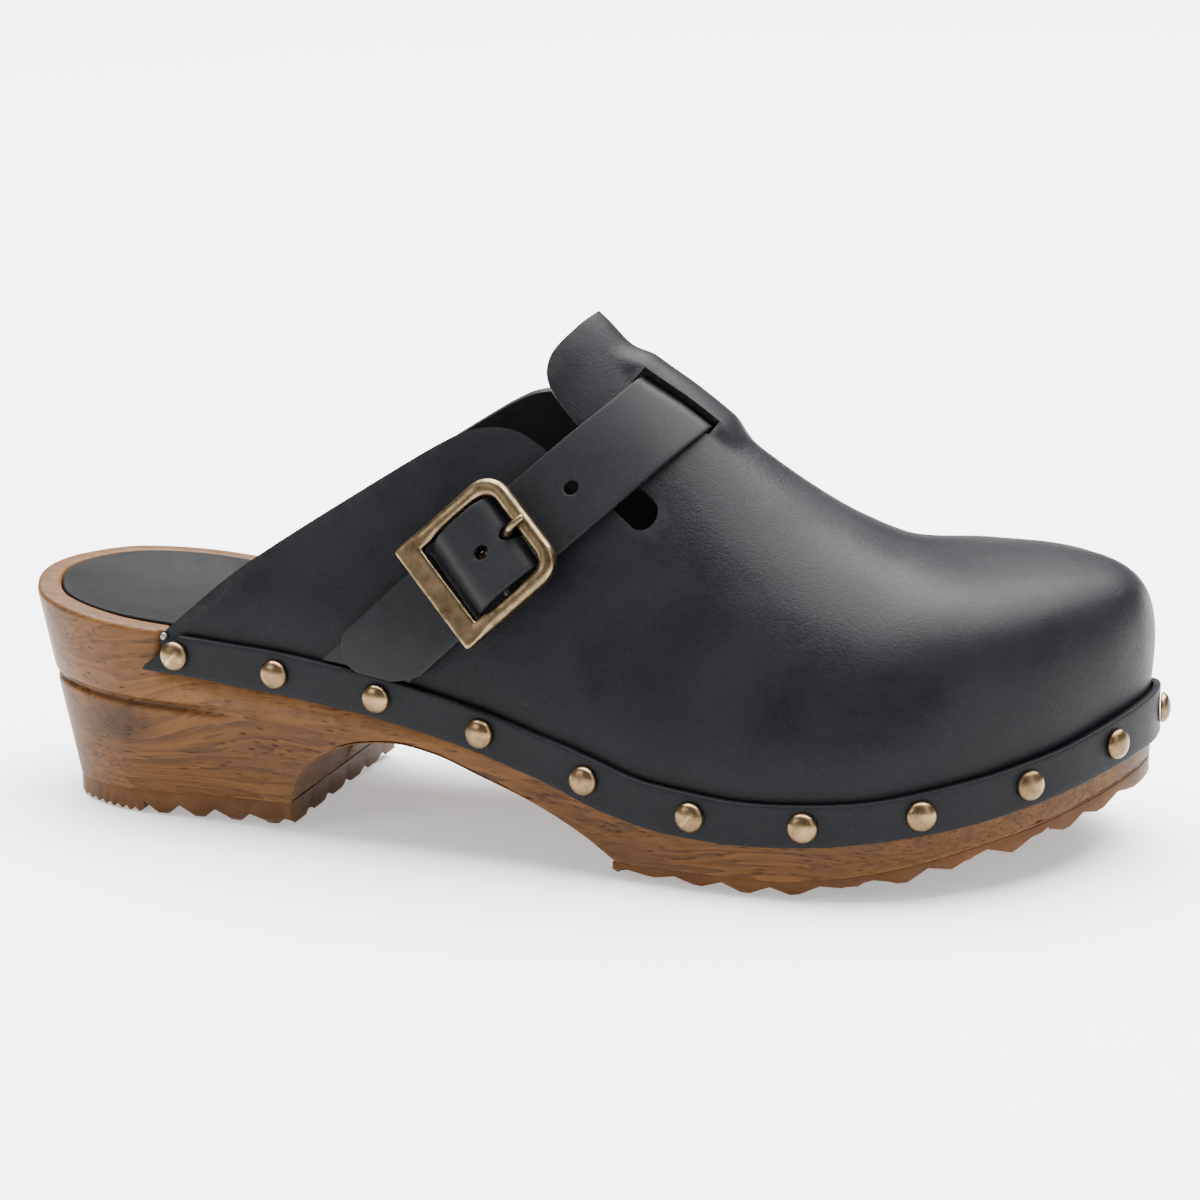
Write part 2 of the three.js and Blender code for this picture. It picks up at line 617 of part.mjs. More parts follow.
// Flat strip that follows the upper, between two values of the section parameter.
function ribbon(width, from, to, steps, lift, thick) {
  const cuts = [-0.5, -0.17, 0.17, 0.5].map((share) => share * width);
  const rings = Array.from({ length: steps + 1 }, (_, i) => {
    const t = lerp(from, to, i / steps);
    const spots = cuts.map((w) => onForm(w, t));
    const up = (spot, extra) => spot.point.clone()
      .addScaledVector(spot.normal, lift(spot.point) + extra);
    return [...spots.map((spot) => up(spot, 0)), ...spots.reverse().map((spot) => up(spot, thick))];
  });
  return toSolid(loft(rings));
}

const strapPoint = ([q, w]) => [STRAP_MID[0] + q * STRAP_DIR.x - w * STRAP_DIR.y,
  STRAP_MID[1] + q * STRAP_DIR.y + w * STRAP_DIR.x];
const TAIL_END = [[-34, 13], [-37, 9.2], [-39.6, 7.4], [-40.6, 4.6], [-40.2, 1.6], [-38.6, -1.6],
  [-36, -4.6], [-32.5, -7.3], [-28.5, -9.2], [-25, -13]];
const STRAP_FROM = -0.999;
const STRAP_TO = 0.999;
const STRAP_STEPS = 92;
const RIDGE_MID_Y = 3;

// Ribbon cut to the strap's round tail, and square where the rand holds its other end.
function trimmed(solid) {
  const tail = sidePrism([...TAIL_END, [110, -30], [110, 30]].map(strapPoint), -90, RIDGE_MID_Y);
  const line = trace((x) => FEATHER(x) + 2 * CLEARANCE, 20 * SX, 240 * SX, 12);
  const fixed = sidePrism([...line, [240 * SX, 160], [20 * SX, 160]], RIDGE_MID_Y - 1, 90);
  const above = sidePrism([...line, [240 * SX, 160], [20 * SX, 160]]);
  return solid.intersect(tail.add(fixed)).intersect(above);
}

function strapRoom() {
  const lift = (p) => strapLift(p) - CLEARANCE;
  return ribbon(STRAP_WIDTH + 2 * CLEARANCE, STRAP_FROM, STRAP_TO, STRAP_STEPS, lift,
    STRAP_THICK + 2 * CLEARANCE);
}

// Point on the outer side of the form at strap coordinates q (along) and w (across).
function onFlank(q, w) {
  let low = -1;
  let high = 0;
  for (let i = 0; i < 30; i++) {
    const t = (low + high) / 2;
    if (alongStrap(onForm(w, t).point) < q) low = t;
    else high = t;
  }
  return { ...onForm(w, (low + high) / 2), t: (low + high) / 2 };
}

// Frame of the buckle: x along the strap, y across it, z away from the upper.
const seat = onFlank(0, 0);
const seatOut = seat.normal.clone();
const seatLong = onFlank(4, 0).point.sub(onFlank(-4, 0).point);
seatLong.addScaledVector(seatOut, -seatLong.dot(seatOut)).normalize();
const seatFrame = new THREE.Matrix4().makeBasis(seatLong, seatOut.clone().cross(seatLong), seatOut)
  .setPosition(seat.point);
const onSeat = (geometry) => toSolid(geometry.applyMatrix4(seatFrame));

// Round bar along the local y axis.
function crossBar(radius, length, q, h, sides = 12) {
  return new THREE.CylinderGeometry(radius, radius, length, sides).translate(q, 0, h);
}

function strapHole(q) {
  const spot = onFlank(q, 0);
  const hole = new THREE.CylinderGeometry(HOLE_R, HOLE_R, 6, 12);
  const middle = spot.point.clone()
    .addScaledVector(spot.normal, strapLift(spot.point) + STRAP_THICK / 2);
  return toSolid(standOut(hole, middle, spot.normal));
}

const PRONG_PATH = [[1.2, 0.3], [4, 0.1], [6.8, 0.5], [9, 2.3], [10.8, 3.8], [12.6, 4], [14.4, 3.5]];

function prongSolid(extra) {
  const path = new THREE.CatmullRomCurve3(
    PRONG_PATH.map(([q, h]) => new THREE.Vector3(q, 0, BAR_LIFT + h)));
  const round = new THREE.Shape().absarc(0, 0, PRONG_R + extra, 0, 2 * Math.PI);
  const stem = new THREE.ExtrudeGeometry(round, {
    steps: 18, curveSegments: 5, extrudePath: path, bevelEnabled: false,
  });
  const eye = onSeat(crossBar(eyeR + extra, 2 * (PRONG_R + extra), 0, BAR_LIFT));
  const bore = onSeat(crossBar(BAR_R + PIVOT_GAP, 12, 0, BAR_LIFT));
  const solid = onSeat(stem).add(eye);
  return extra > 0 ? solid : solid.subtract(bore);
}

function strap() {
  const band = ribbon(STRAP_WIDTH, STRAP_FROM, STRAP_TO, STRAP_STEPS, strapLift, STRAP_THICK);
  return trimmed(band).subtract(strapHole(1.7)).subtract(strapHole(23.2))
    .subtract(prongSolid(PRONG_ROOM));
}

function chape() {
  const lift = () => CLEARANCE;
  const end = onFlank(1, 0).t;
  const steps = Math.round((STRAP_STEPS * (end - STRAP_FROM)) / (STRAP_TO - STRAP_FROM));
  const strip = ribbon(CHAPE_WIDTH, STRAP_FROM, end, steps, lift, CHAPE_THICK);
  const line = trace((x) => FEATHER(x) + 2 * CLEARANCE, 20 * SX, 240 * SX, 12);
  const lower = strip.intersect(sidePrism([...line, [240 * SX, 160], [20 * SX, 160]]));
  const neck = new THREE.BoxGeometry(CHAPE_THICK, CHAPE_WIDTH, BAR_LIFT - CLEARANCE - 0.2);
  neck.translate(CHAPE_THICK / 2 - eyeR, 0, CLEARANCE + 0.2 + (BAR_LIFT - CLEARANCE - 0.2) / 2);
  const eye = onSeat(crossBar(eyeR, CHAPE_WIDTH, 0, BAR_LIFT));
  const bore = onSeat(crossBar(BAR_R + PIVOT_GAP, CHAPE_WIDTH + 4, 0, BAR_LIFT));
  const room = 2 * (PRONG_R + CLEARANCE);
  const notch = onSeat(new THREE.BoxGeometry(2 * eyeR + 4, room, 2 * eyeR + 1).translate(0, 0, BAR_LIFT));
  return lower.add(eye.add(onSeat(neck)).subtract(bore).subtract(notch));
}

const SHAVE_BOX = 4;

function buckleFrame() {
  const bevel = 1.3;
  const [x, y] = [BUCKLE_LONG / 2 - bevel, BUCKLE_WIDE / 2 - bevel];
  const corner = 5;
  const outline = new THREE.Shape().moveTo(-x, -y).lineTo(x - corner, -y)
    .absarc(x - corner, -y + corner, corner, -Math.PI / 2, 0)
    .absarc(x - corner, y - corner, corner, 0, Math.PI / 2).lineTo(-x, y);
  // The bevel grows into the hole, so the hole is drawn wider by it.
  const left = -BUCKLE_LONG / 2 + PLATE_WIDE - bevel;
  const right = BUCKLE_LONG / 2 - ROD + bevel;
  const side = BUCKLE_WIDE / 2 - ROD + bevel;
  const inner = 2.6;
  const hole = new THREE.Path().moveTo(left, -side).lineTo(left, side).lineTo(right - inner, side)
    .absarc(right - inner, side - inner, inner, Math.PI / 2, 0, true)
    .absarc(right - inner, -side + inner, inner, 0, -Math.PI / 2, true);
  outline.holes.push(hole);
  const frame = new THREE.ExtrudeGeometry(outline, {
    depth: ROD - 2 * bevel, bevelThickness: bevel, bevelSize: bevel, bevelSegments: 3,
    curveSegments: 5,
  }).translate(0, 0, BUCKLE_LIFT - ROD / 2 + bevel);
  const shave = new THREE.BoxGeometry(PLATE_WIDE + 3, BUCKLE_WIDE + 4, SHAVE_BOX)
    .translate(-BUCKLE_LONG / 2, 0, BUCKLE_LIFT - PLATE_HALF - SHAVE_BOX / 2);
  const bore = crossBar(BAR_R + CLEARANCE, BUCKLE_WIDE + 4, 0, BAR_LIFT);
  return onSeat(frame).subtract(onSeat(bore)).subtract(onSeat(shave));
}

function buckleBar() {
  return onSeat(crossBar(BAR_R, BUCKLE_WIDE - 1, 0, BAR_LIFT));
}

piece('wooden_sole', woodenSole(), WOOD);
piece('heel_tread', heelTread(), RUBBER);
piece('forefoot_tread', forefootTread(), RUBBER);
piece('insole_foam', dished(RIM + CLEARANCE, FOAM_TOP, FOAM_THICK), FOAM);
piece('insole_cover', dished(RIM + CLEARANCE, COVER_DROP, COVER_THICK), LINING);
piece('upper', upper(), LEATHER);
piece('rand', rand(), LEATHER);
studs.forEach((stud, i) => {
  const name = `stud_${String(i + 1).padStart(2, '0')}`;
  piece(name, toSolid(standOut(studGeometry(), stud.at, stud.normal)), BRASS);
});
['near', 'far'].forEach((side, i) => {
  const nail = nailPlaces[i];
  piece(`corner_nail_${side}`, toSolid(standOut(nailGeometry(), nail.at, nail.normal)), STEEL);
});
piece('strap', strap(), LEATHER);
piece('buckle_chape', chape(), LEATHER);
piece('buckle_frame', buckleFrame(), BRASS);
piece('buckle_bar', buckleBar(), STEEL);
piece('prong', prongSolid(0), BRASS);

// The origin is the middle of the object's box, on the ground.
const box = new THREE.Box3().setFromObject(clog);
clog.position.set(-(box.min.x + box.max.x) / 2, -(box.min.y + box.max.y) / 2, -box.min.z);

export default clog;
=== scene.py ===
# The looks of the wooden clog: every piece is shaped in millimetres in the sole's own drawing frame
# (x from the heel's back to the toe, y to the wearer's left, z up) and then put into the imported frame.
import json
import math

import bmesh
import bpy
import numpy as np
from mathutils import Matrix, Vector, geometry
from mathutils import noise as noise_field

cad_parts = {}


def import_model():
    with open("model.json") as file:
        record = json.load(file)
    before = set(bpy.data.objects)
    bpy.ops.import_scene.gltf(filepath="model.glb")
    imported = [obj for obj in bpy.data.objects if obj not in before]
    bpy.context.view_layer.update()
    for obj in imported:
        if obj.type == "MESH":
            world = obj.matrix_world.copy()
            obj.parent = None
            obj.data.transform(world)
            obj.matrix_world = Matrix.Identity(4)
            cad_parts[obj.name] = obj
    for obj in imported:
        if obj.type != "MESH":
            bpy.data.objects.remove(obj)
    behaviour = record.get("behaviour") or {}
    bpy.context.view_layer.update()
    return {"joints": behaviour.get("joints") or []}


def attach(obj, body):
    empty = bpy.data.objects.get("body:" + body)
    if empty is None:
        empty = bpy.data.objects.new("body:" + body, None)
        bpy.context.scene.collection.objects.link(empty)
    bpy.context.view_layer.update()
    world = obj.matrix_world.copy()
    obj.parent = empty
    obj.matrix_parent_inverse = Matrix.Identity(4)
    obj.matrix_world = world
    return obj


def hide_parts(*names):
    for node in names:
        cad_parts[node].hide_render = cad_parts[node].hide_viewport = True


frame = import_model()

MM = 0.001
noise_field.seed_set(11)     # noise_vector is seeded from the clock otherwise


# ---- sizes shared by the pieces, in millimetres ----
GAP = 0.3
LEATHER = 1.8
RAND_PROUD = 0.1
RAND_THICK = 1.8
STRAP_THICK = 1.6
STRAP_WIDE = 18.8
CHAPE_THICK = 0.9
CHAPE_WIDE = 17
BRIDGE_HALF = 6.5
BRIDGE_RISE = 2.3
SLIT = 3
BUCKLE_LONG = 29.5
BUCKLE_WIDE = 28.4
ROD = 3.8
PLATE_WIDE = 5.6
BAR_R = 0.9
BAR_DROP = 0.75
PIVOT_GAP = 0.15
PRONG_R = 0.95
BUCKLE_LIFT = 5.9
HOLE_R = 1.5
RIM = 5.8
DISH = 2.6
COVER_DROP = -0.5
COVER_THICK = 1.2
FOAM_THICK = 2.6
UPPER_GAP = GAP - RAND_PROUD
RAND_OUT = RAND_PROUD + RAND_THICK
STUD_R = 3.4
STUD_H = 2.2
STUD_PITCH = 26.2


# ---- curves ----
def graph(pairs):
    """Smooth monotone curve through (position, value) pairs; takes arrays."""
    x = np.array([p[0] for p in pairs], float)
    y = np.array([p[1] for p in pairs], float)
    h = np.diff(x)
    slope = np.diff(y) / h
    tangent = np.zeros(len(x))
    tangent[0], tangent[-1] = slope[0], slope[-1]
    for i in range(1, len(x) - 1):
        if slope[i - 1] * slope[i] > 0:
            a = 2 * h[i] + h[i - 1]
            b = h[i] + 2 * h[i - 1]
            tangent[i] = (a + b) / (a / slope[i - 1] + b / slope[i])

    def at(v):
        v = np.asarray(v, float)
        i = np.clip(np.searchsorted(x, v, side="right") - 1, 0, len(h) - 1)
        t = np.clip((v - x[i]) / h[i], 0, 1)
        inside = (y[i] * (1 + 2 * t) * (1 - t) ** 2 + y[i + 1] * t * t * (3 - 2 * t)
                  + h[i] * (tangent[i] * t * (1 - t) ** 2 - tangent[i + 1] * t * t * (1 - t)))
        below = np.minimum(v - x[0], 0) * tangent[0]
        above = np.maximum(v - x[-1], 0) * tangent[-1]
        return inside + below + above
    return at


def smooth(low, high, v):
    t = np.clip((np.asarray(v, float) - low) / (high - low), 0, 1)
    return t * t * (3 - 2 * t)


def catmull(points, per_span, closed=False):
    """Uniform Catmull-Rom line through points."""
    p = np.array(points, float)
    n = len(p)
    spans = n if closed else n - 1
    first = p[-1] if closed else 2 * p[0] - p[1]
    last = p[0] if closed else 2 * p[-1] - p[-2]
    out = []
    for i in range(spans):
        a = p[i - 1] if i > 0 else first
        b = p[i]
        c = p[(i + 1) % n]
        d = p[(i + 2) % n] if closed or i + 2 < n else last
        t = np.arange(per_span)[:, None] / per_span
        out.append(0.5 * (2 * b + (c - a) * t + (2 * a - 5 * b + 4 * c - d) * t ** 2
                          + (3 * b - a - 3 * c + d) * t ** 3))
    if not closed:
        out.append(p[-1:])
    return np.vstack(out)


def running_length(line):
    return np.r_[0, np.cumsum(np.linalg.norm(np.diff(line, axis=0), axis=1))]


def even(line, count):
    """count points at even spacing along a line."""
    run = running_length(line)
    want = np.linspace(0, run[-1], count)
    return np.stack([np.interp(want, run, line[:, k]) for k in range(line.shape[1])], 1)


# ---- plan outline and side lines of the sole ----
OUTER_SIDE = [(0, 0), (3, -13.5), (12, -26.6), (30, -34.4), (55, -35.2), (85, -37.4),
              (115, -39.5), (145, -43), (172, -46.4), (195, -47.5), (215, -44.6), (233, -36.2),
              (248, -22.6), (258.6, -7), (263.8, 6)]
TOE_TIP = (264.8, 16)
INNER_SIDE = [(263, 24), (257, 31.7), (247, 39.7), (233, 45.2), (215, 47.8), (195, 47.2),
              (172, 44.7), (145, 40.2), (115, 36.2), (85, 34.4), (55, 34.2), (30, 34.4),
              (12, 26.6), (3, 13.5)]
PER_SPAN = 40
PLAN = catmull(OUTER_SIDE + [TOE_TIP] + INNER_SIDE, PER_SPAN, closed=True)
PLAN_TANGENT = np.roll(PLAN, -1, 0) - np.roll(PLAN, 1, 0)
PLAN_TANGENT /= np.linalg.norm(PLAN_TANGENT, axis=1)[:, None]
PLAN_OUT = np.stack([PLAN_TANGENT[:, 1], -PLAN_TANGENT[:, 0]], 1)
TOE_INDEX = len(OUTER_SIDE) * PER_SPAN
PLAN_FULL = np.hstack([PLAN, PLAN_OUT])
OUTER_LINE = PLAN_FULL[:TOE_INDEX + 1]
INNER_LINE = np.vstack([PLAN_FULL[TOE_INDEX:], PLAN_FULL[:1]])[::-1]

FEATHER = graph([(0, 51.2), (48, 46.2), (69, 45), (94, 42.2), (119, 37.5), (146, 30.3),
                 (168, 24), (191, 22), (212, 23), (232, 26.3), (250, 30.4), (266, 36.4)])
RAND_LOW = graph([(40, 37.6), (68, 35.1), (94, 32.4), (118, 27.8), (140, 21.7), (157, 15.8),
                  (173, 12.8), (188, 12.2), (202, 12.8), (223, 15), (247, 19.4), (266, 25)])
TIP_LINE = graph([(158, 0), (195, 0), (205, 0.9), (215, 2.3), (225, 4.2), (238, 7.4),
                  (250, 10.2), (266, 15.8)])
TREAD_THICK = 4
BREAST_X = 75       # front face of the heel
BREAST_SLOPE = 3.4
HEEL_BACK_Z = 4.6
BREAST_Z = 6.9
ARCH_X = 76.5
FORE_X = 158
ARCH = graph([(ARCH_X, 12), (80, 16.8), (86, 21), (94, 23.9), (104, 25.1), (113, 23.8),
              (124, 20.2), (138, 15.2), (150, 9.3), (158, 4)])
TAPER = graph([(0, 0.185), (40, 0.13), (75, 0.1), (112, 0.03), (264, 0.03)])
UPPER_BACK = 45.2


def heel_bottom(x):
    return HEEL_BACK_Z + (BREAST_Z - HEEL_BACK_Z) * np.clip(x / BREAST_X, 0, 1)


def sole_bottom(x):
    """Height of the wood's underside."""
    arch = np.where(x < ARCH_X, BREAST_Z + (x - BREAST_X) * BREAST_SLOPE, ARCH(x))
    fore = TIP_LINE(x) + TREAD_THICK
    return np.where(x < BREAST_X, heel_bottom(x), np.where(x < FORE_X, arch, fore))


# ---- form of the upper ----
RIDGE_Z = graph([(40, 112), (80, 128), (110, 129), (128, 126), (140, 118.5), (150, 108.5),
                 (162, 100), (175, 89.5), (188, 80), (200, 73), (212, 67.8), (224, 66), (240, 67)])
RIDGE_Y = graph([(40, 0), (120, 1), (160, 3), (200, 6), (235, 11)])
BULGE = graph([(40, 1), (90, 0.97), (120, 0.95), (150, 0.98), (180, 1.03), (210, 1.05),
               (232, 1.08), (264, 1.08)])
WALL = graph([(40, 0.4), (90, 0.4), (120, 0.38), (150, 0.42), (180, 0.5), (210, 0.64),
              (232, 0.85), (264, 0.85)])
CROWN = graph([(40, 0.35), (90, 0.33), (120, 0.3), (150, 0.34), (180, 0.45), (210, 0.62),
               (232, 0.92), (264, 0.92)])
FORM_START = 36
TOE_BEND_X = 195
TOE_BEND = 0.00675
SKIRT = 40      # millimetres of drop for each unit of t past the feather line


def side_line(line):
    start = int(np.argmax(line[:, 0] >= FORM_START))
    return even(line[start:], 241)


OUTER_FORM = side_line(OUTER_LINE)
INNER_FORM = side_line(INNER_LINE)


def form(s, t, lift=0.0):
    """Point of the upper's outside: s from back to toe, t from -1 (outer) over 0 (ridge) to 1."""
    s, t = np.broadcast_arrays(np.asarray(s, float), np.asarray(t, float))
    grid = np.linspace(0, 1, len(OUTER_FORM))
    outer = np.stack([np.interp(s, grid, OUTER_FORM[:, k]) for k in range(4)], -1)
    inner = np.stack([np.interp(s, grid, INNER_FORM[:, k]) for k in range(4)], -1)
    x = (outer[..., 0] + inner[..., 0]) / 2
    side = np.where((t < 0)[..., None], outer, inner)
    foot = side[..., :2] + side[..., 2:] * (np.asarray(lift)[..., None] - UPPER_GAP)
    low = FEATHER(side[..., 0])
    rx = np.where(x > TOE_BEND_X, x - TOE_BEND * (x - TOE_BEND_X) ** 2, x)
    slope = RIDGE_Z(rx + 0.5) - RIDGE_Z(rx - 0.5)
    steep = np.hypot(1, slope)
    top_x = rx - lift * slope / steep
    top_y = RIDGE_Y(rx)
    top_z = RIDGE_Z(rx) + lift / steep
    k = 1 - np.minimum(np.abs(t), 1)
    j = 1 - k
    reach = j ** 3 + 3 * j * j * k * BULGE(x) + 3 * j * k * k * CROWN(x)
    rise = 3 * j * j * k * WALL(x) + 3 * j * k * k + k ** 3
    z = low + (top_z - low) * rise - SKIRT * np.maximum(np.abs(t) - 1, 0)
    return np.stack([top_x + (foot[..., 0] - top_x) * reach,
                     top_y + (foot[..., 1] - top_y) * reach, z], -1)


def form_normal(s, t):
    step = 0.004
    ds = form(np.minimum(s + step, 1), t) - form(np.maximum(s - step, 0), t)
    dt = form(s, t + step) - form(s, t - step)
    n = np.cross(ds, dt)
    return n / np.maximum(np.linalg.norm(n, axis=-1), 1e-9)[..., None]


# ---- strap directions, and the buckle's seat on the outer flank ----
STRAP_X, STRAP_Z = np.array([0.738, 0.674]) / math.hypot(0.738, 0.674)
MID_X, MID_Z = 126.5, 68.2


def along_strap(p):
    return (p[..., 0] - MID_X) * STRAP_X + (p[..., 2] - MID_Z) * STRAP_Z


def across_strap(p):
    return -(p[..., 0] - MID_X) * STRAP_Z + (p[..., 2] - MID_Z) * STRAP_X


def solve_form(targets, measure, side, s_range=(0.0, 0.85)):
    """Form parameters where measure(points) gives the targets, on one side of the ridge."""
    targets = np.atleast_2d(np.asarray(targets, float))
    s_grid, t_grid = np.meshgrid(np.linspace(*s_range, 90), np.linspace(0.02, 1.1, 60), indexing="ij")
    s_grid, t_grid = s_grid.ravel(), side * t_grid.ravel()
    got = measure(form(s_grid, t_grid))
    nearest = np.argmin(((targets[:, None] - got[None]) ** 2).sum(-1), 1)
    s, t = s_grid[nearest], t_grid[nearest]
    e = 1e-4
    for _ in range(15):
        m = measure(form(s, t))
        ms = (measure(form(s + e, t)) - m) / e
        mt = (measure(form(s, t + e)) - m) / e
        det = ms[:, 0] * mt[:, 1] - ms[:, 1] * mt[:, 0]
        det = np.where(np.abs(det) < 1e-3, 1e-3, det)
        miss = targets - m
        ds = (miss[:, 0] * mt[:, 1] - miss[:, 1] * mt[:, 0]) / det
        dt = (ms[:, 0] * miss[:, 1] - ms[:, 1] * miss[:, 0]) / det
        s = s + np.clip(ds, -0.02, 0.02)
        t = t + np.clip(dt, -0.04, 0.04)
    return s, t


def strap_measure(p):
    return np.stack([along_strap(p), across_strap(p)], -1)


def flank_point(q, w):
    s, t = solve_form([(q, w)], strap_measure, -1)
    return form(s, t)[0], form_normal(s, t)[0]


SEAT, SEAT_OUT = flank_point(0, 0)
SEAT_LONG = flank_point(4, 0)[0] - flank_point(-4, 0)[0]
SEAT_LONG -= SEAT_OUT * SEAT_LONG.dot(SEAT_OUT)
SEAT_LONG /= np.linalg.norm(SEAT_LONG)
SEAT_SIDE = np.cross(SEAT_OUT, SEAT_LONG)
BAR_LIFT = BUCKLE_LIFT - BAR_DROP
EYE_R = BAR_R + PIVOT_GAP + CHAPE_THICK
TAIL_LIFT = GAP + CHAPE_THICK + GAP


def on_seat(points):
    """Points (along the strap, across it, away from the upper) to the drawing frame."""
    p = np.asarray(points, float)
    return SEAT + p[..., :1] * SEAT_LONG + p[..., 1:2] * SEAT_SIDE + p[..., 2:] * SEAT_OUT


# The buckle's hinge is at the bar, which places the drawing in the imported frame.
ORIGIN = np.array(frame["joints"][0]["pos_m"]) - on_seat([0, 0, BAR_LIFT]) * MM


def world(points):
    """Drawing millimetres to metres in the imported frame."""
    return np.asarray(points, float) * MM + ORIGIN


# ---- mesh helpers ----
def mesh_from(bm, name):
    mesh = bpy.data.meshes.new(name)
    bm.to_mesh(mesh)
    bm.free()
    return mesh


def in_scene(name, data):
    made = bpy.data.objects.new(name, data)
    bpy.context.scene.collection.objects.link(made)
    return made


def new_piece(name, bm, look, body, replaced):
    """Object from a mesh, riding a body in place of one CAD node."""
    mesh = mesh_from(bm, name)
    piece = in_scene(name, mesh)
    mesh.materials.append(look)
    mesh.shade_smooth()
    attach(piece, body)
    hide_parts(replaced)
    return piece


def add_part(bm, part):
    """Move the mesh of part into bm."""
    mesh = mesh_from(part, "part")
    bm.from_mesh(mesh)
    bpy.data.meshes.remove(mesh)


def add_bevel(piece, width, segments, angle):
    bevel = piece.modifiers.new("rounded_edges", "BEVEL")
    bevel.width = width * MM
    bevel.segments = segments
    bevel.limit_method = "ANGLE"
    bevel.angle_limit = math.radians(angle)


def section_grid(rows, closed_across=True):
    """Skin over equal rows of points; the rows' ends meet where closed_across is set."""
    rows = [world(r) for r in rows]
    across = len(rows[0]) + closed_across
    bm = bmesh.new()
    bmesh.ops.create_grid(bm, x_segments=len(rows) - 1, y_segments=across - 1, size=1)
    bm.verts.ensure_lookup_table()
    order = sorted(range(len(bm.verts)), key=lambda i: (round(bm.verts[i].co.x, 6), bm.verts[i].co.y))
    for k, i in enumerate(order):
        row, col = divmod(k, across)
        bm.verts[i].co = rows[row][col % len(rows[row])]
    bmesh.ops.remove_doubles(bm, verts=bm.verts[:], dist=1e-6)
    bmesh.ops.recalc_face_normals(bm, faces=bm.faces[:])
    return bm


def inside(points, loop):
    """Which points lie inside a closed loop."""
    ax, ay = loop.T
    bx, by = np.roll(loop, -1, 0).T
    px, py = points[:, :1], points[:, 1:]
    rise = np.where(by == ay, 1e-12, by - ay)
    crossed = ((ay > py) != (by > py)) & (px < (bx - ax) * (py - ay) / rise + ax)
    return crossed.sum(1) % 2 == 1


def in_pattern(points, outline, holes):
    keep = inside(points, outline)
    for hole in holes:
        keep &= ~inside(points, hole)
    return keep


def loop_distance(points, loop):
    a = loop[None]
    d = np.roll(loop, -1, 0)[None] - a
    v = points[:, None] - a
    t = np.clip((v * d).sum(-1) / np.maximum((d * d).sum(-1), 1e-12), 0, 1)
    return np.linalg.norm(v - d * t[..., None], axis=-1).min(1)


def flat_pattern(outline, holes, spacing):
    """Triangles over a pattern drawn flat: evenly spread points inside its outline and holes."""
    loops = [outline] + holes
    low, high = outline.min(0), outline.max(0)
    gx = np.arange(low[0] + spacing / 2, high[0], spacing)
    gy = np.arange(low[1] + spacing / 2, high[1], spacing * 0.87)
    x, y = np.meshgrid(gx, gy)
    x = x + (np.arange(len(gy)) % 2)[:, None] * spacing / 2
    points = np.stack([x.ravel(), y.ravel()], 1)
    points = points[in_pattern(points, outline, holes)]
    for loop in loops:
        points = points[loop_distance(points, loop) > spacing * 0.55]
    verts = [Vector(p) for loop in loops for p in loop] + [Vector(p) for p in points]
    edges = []
    base = 0
    for loop in loops:
        n = len(loop)
        edges += [(base + i, base + (i + 1) % n) for i in range(n)]
        base += n
    co, _, faces, *_ = geometry.delaunay_2d_cdt(verts, edges, [], 0, 1e-6)
    flat = np.array(co)
    faces = np.array([f for f in faces if len(f) == 3])
    return flat, faces[in_pattern(flat[faces].mean(1), outline, holes)]


def leather_sheet(name, outline, holes, place, spacing, thick, look, replaced, offset, edge):
    """Leather cut to a flat pattern and laid where place() says, with rounded cut edges."""
    flat, faces = flat_pattern(np.asarray(outline, float), [np.asarray(h, float) for h in holes], spacing)
    bm = bmesh.new()
    uv = bm.loops.layers.uv.new("pattern")
    verts = [bm.verts.new(p) for p in world(place(flat))]
    for f in faces:
        a, b, c = flat[f]
        if (b[0] - a[0]) * (c[1] - a[1]) < (b[1] - a[1]) * (c[0] - a[0]):
            f = f[::-1]
        face = bm.faces.new([verts[i] for i in f])
        for loop, i in zip(face.loops, f):
            loop[uv].uv = flat[i] * MM
    if offset < 0:
        bmesh.ops.remove_doubles(bm, verts=bm.verts[:], dist=5e-6)
    bmesh.ops.dissolve_degenerate(bm, edges=bm.edges[:], dist=1e-7)
    piece = new_piece(name, bm, look, "clog", replaced)
    piece.data.materials.append(LINING_LOOK)
    solid = piece.modifiers.new("leather_thickness", "SOLIDIFY")
    solid.material_offset = 1
    solid.thickness = thick * MM
    solid.offset = offset
    solid.use_even_offset = False
    add_bevel(piece, edge, 3, 60)


def close_ends(bm):
    bmesh.ops.holes_fill(bm, edges=[e for e in bm.edges if e.is_boundary], sides=0)
    bmesh.ops.recalc_face_normals(bm, faces=bm.faces[:])
    return bm


def wavy(points, size, amount):
    """Small uneven displacement in every direction, so that nothing is perfectly even."""
    out = np.array(points, float)
    flat = out.reshape(-1, 3)
    shift = np.array([noise_field.noise_vector(Vector(p / size)) for p in flat])
    return (flat + shift * amount).reshape(out.shape)


# ---- node helpers ----
def plug(tree, inputs, sockets):
    """Link each socket's value where it comes from a node, and set it where it is a constant."""
    for key, value in sockets.items():
        if isinstance(value, bpy.types.NodeSocket):
            tree.links.new(value, inputs[key])
        else:
            inputs[key].default_value = value


def node(tree, kind, sockets, **settings):
    made = tree.nodes.new(kind)
    for key, value in settings.items():
        setattr(made, key, value)
    plug(tree, made.inputs, sockets)
    return made


def noise(tree, vector, scale, detail=4.0, rough=0.55, distortion=0.0):
    return node(tree, "ShaderNodeTexNoise", {
        "Vector": vector, "Scale": scale, "Detail": detail, "Roughness": rough,
        "Distortion": distortion}).outputs["Fac"]


def cells(tree, vector, scale, feature="DISTANCE_TO_EDGE"):
    made = node(tree, "ShaderNodeTexVoronoi", {"Vector": vector, "Scale": scale}, feature=feature)
    return made.outputs["Distance"]


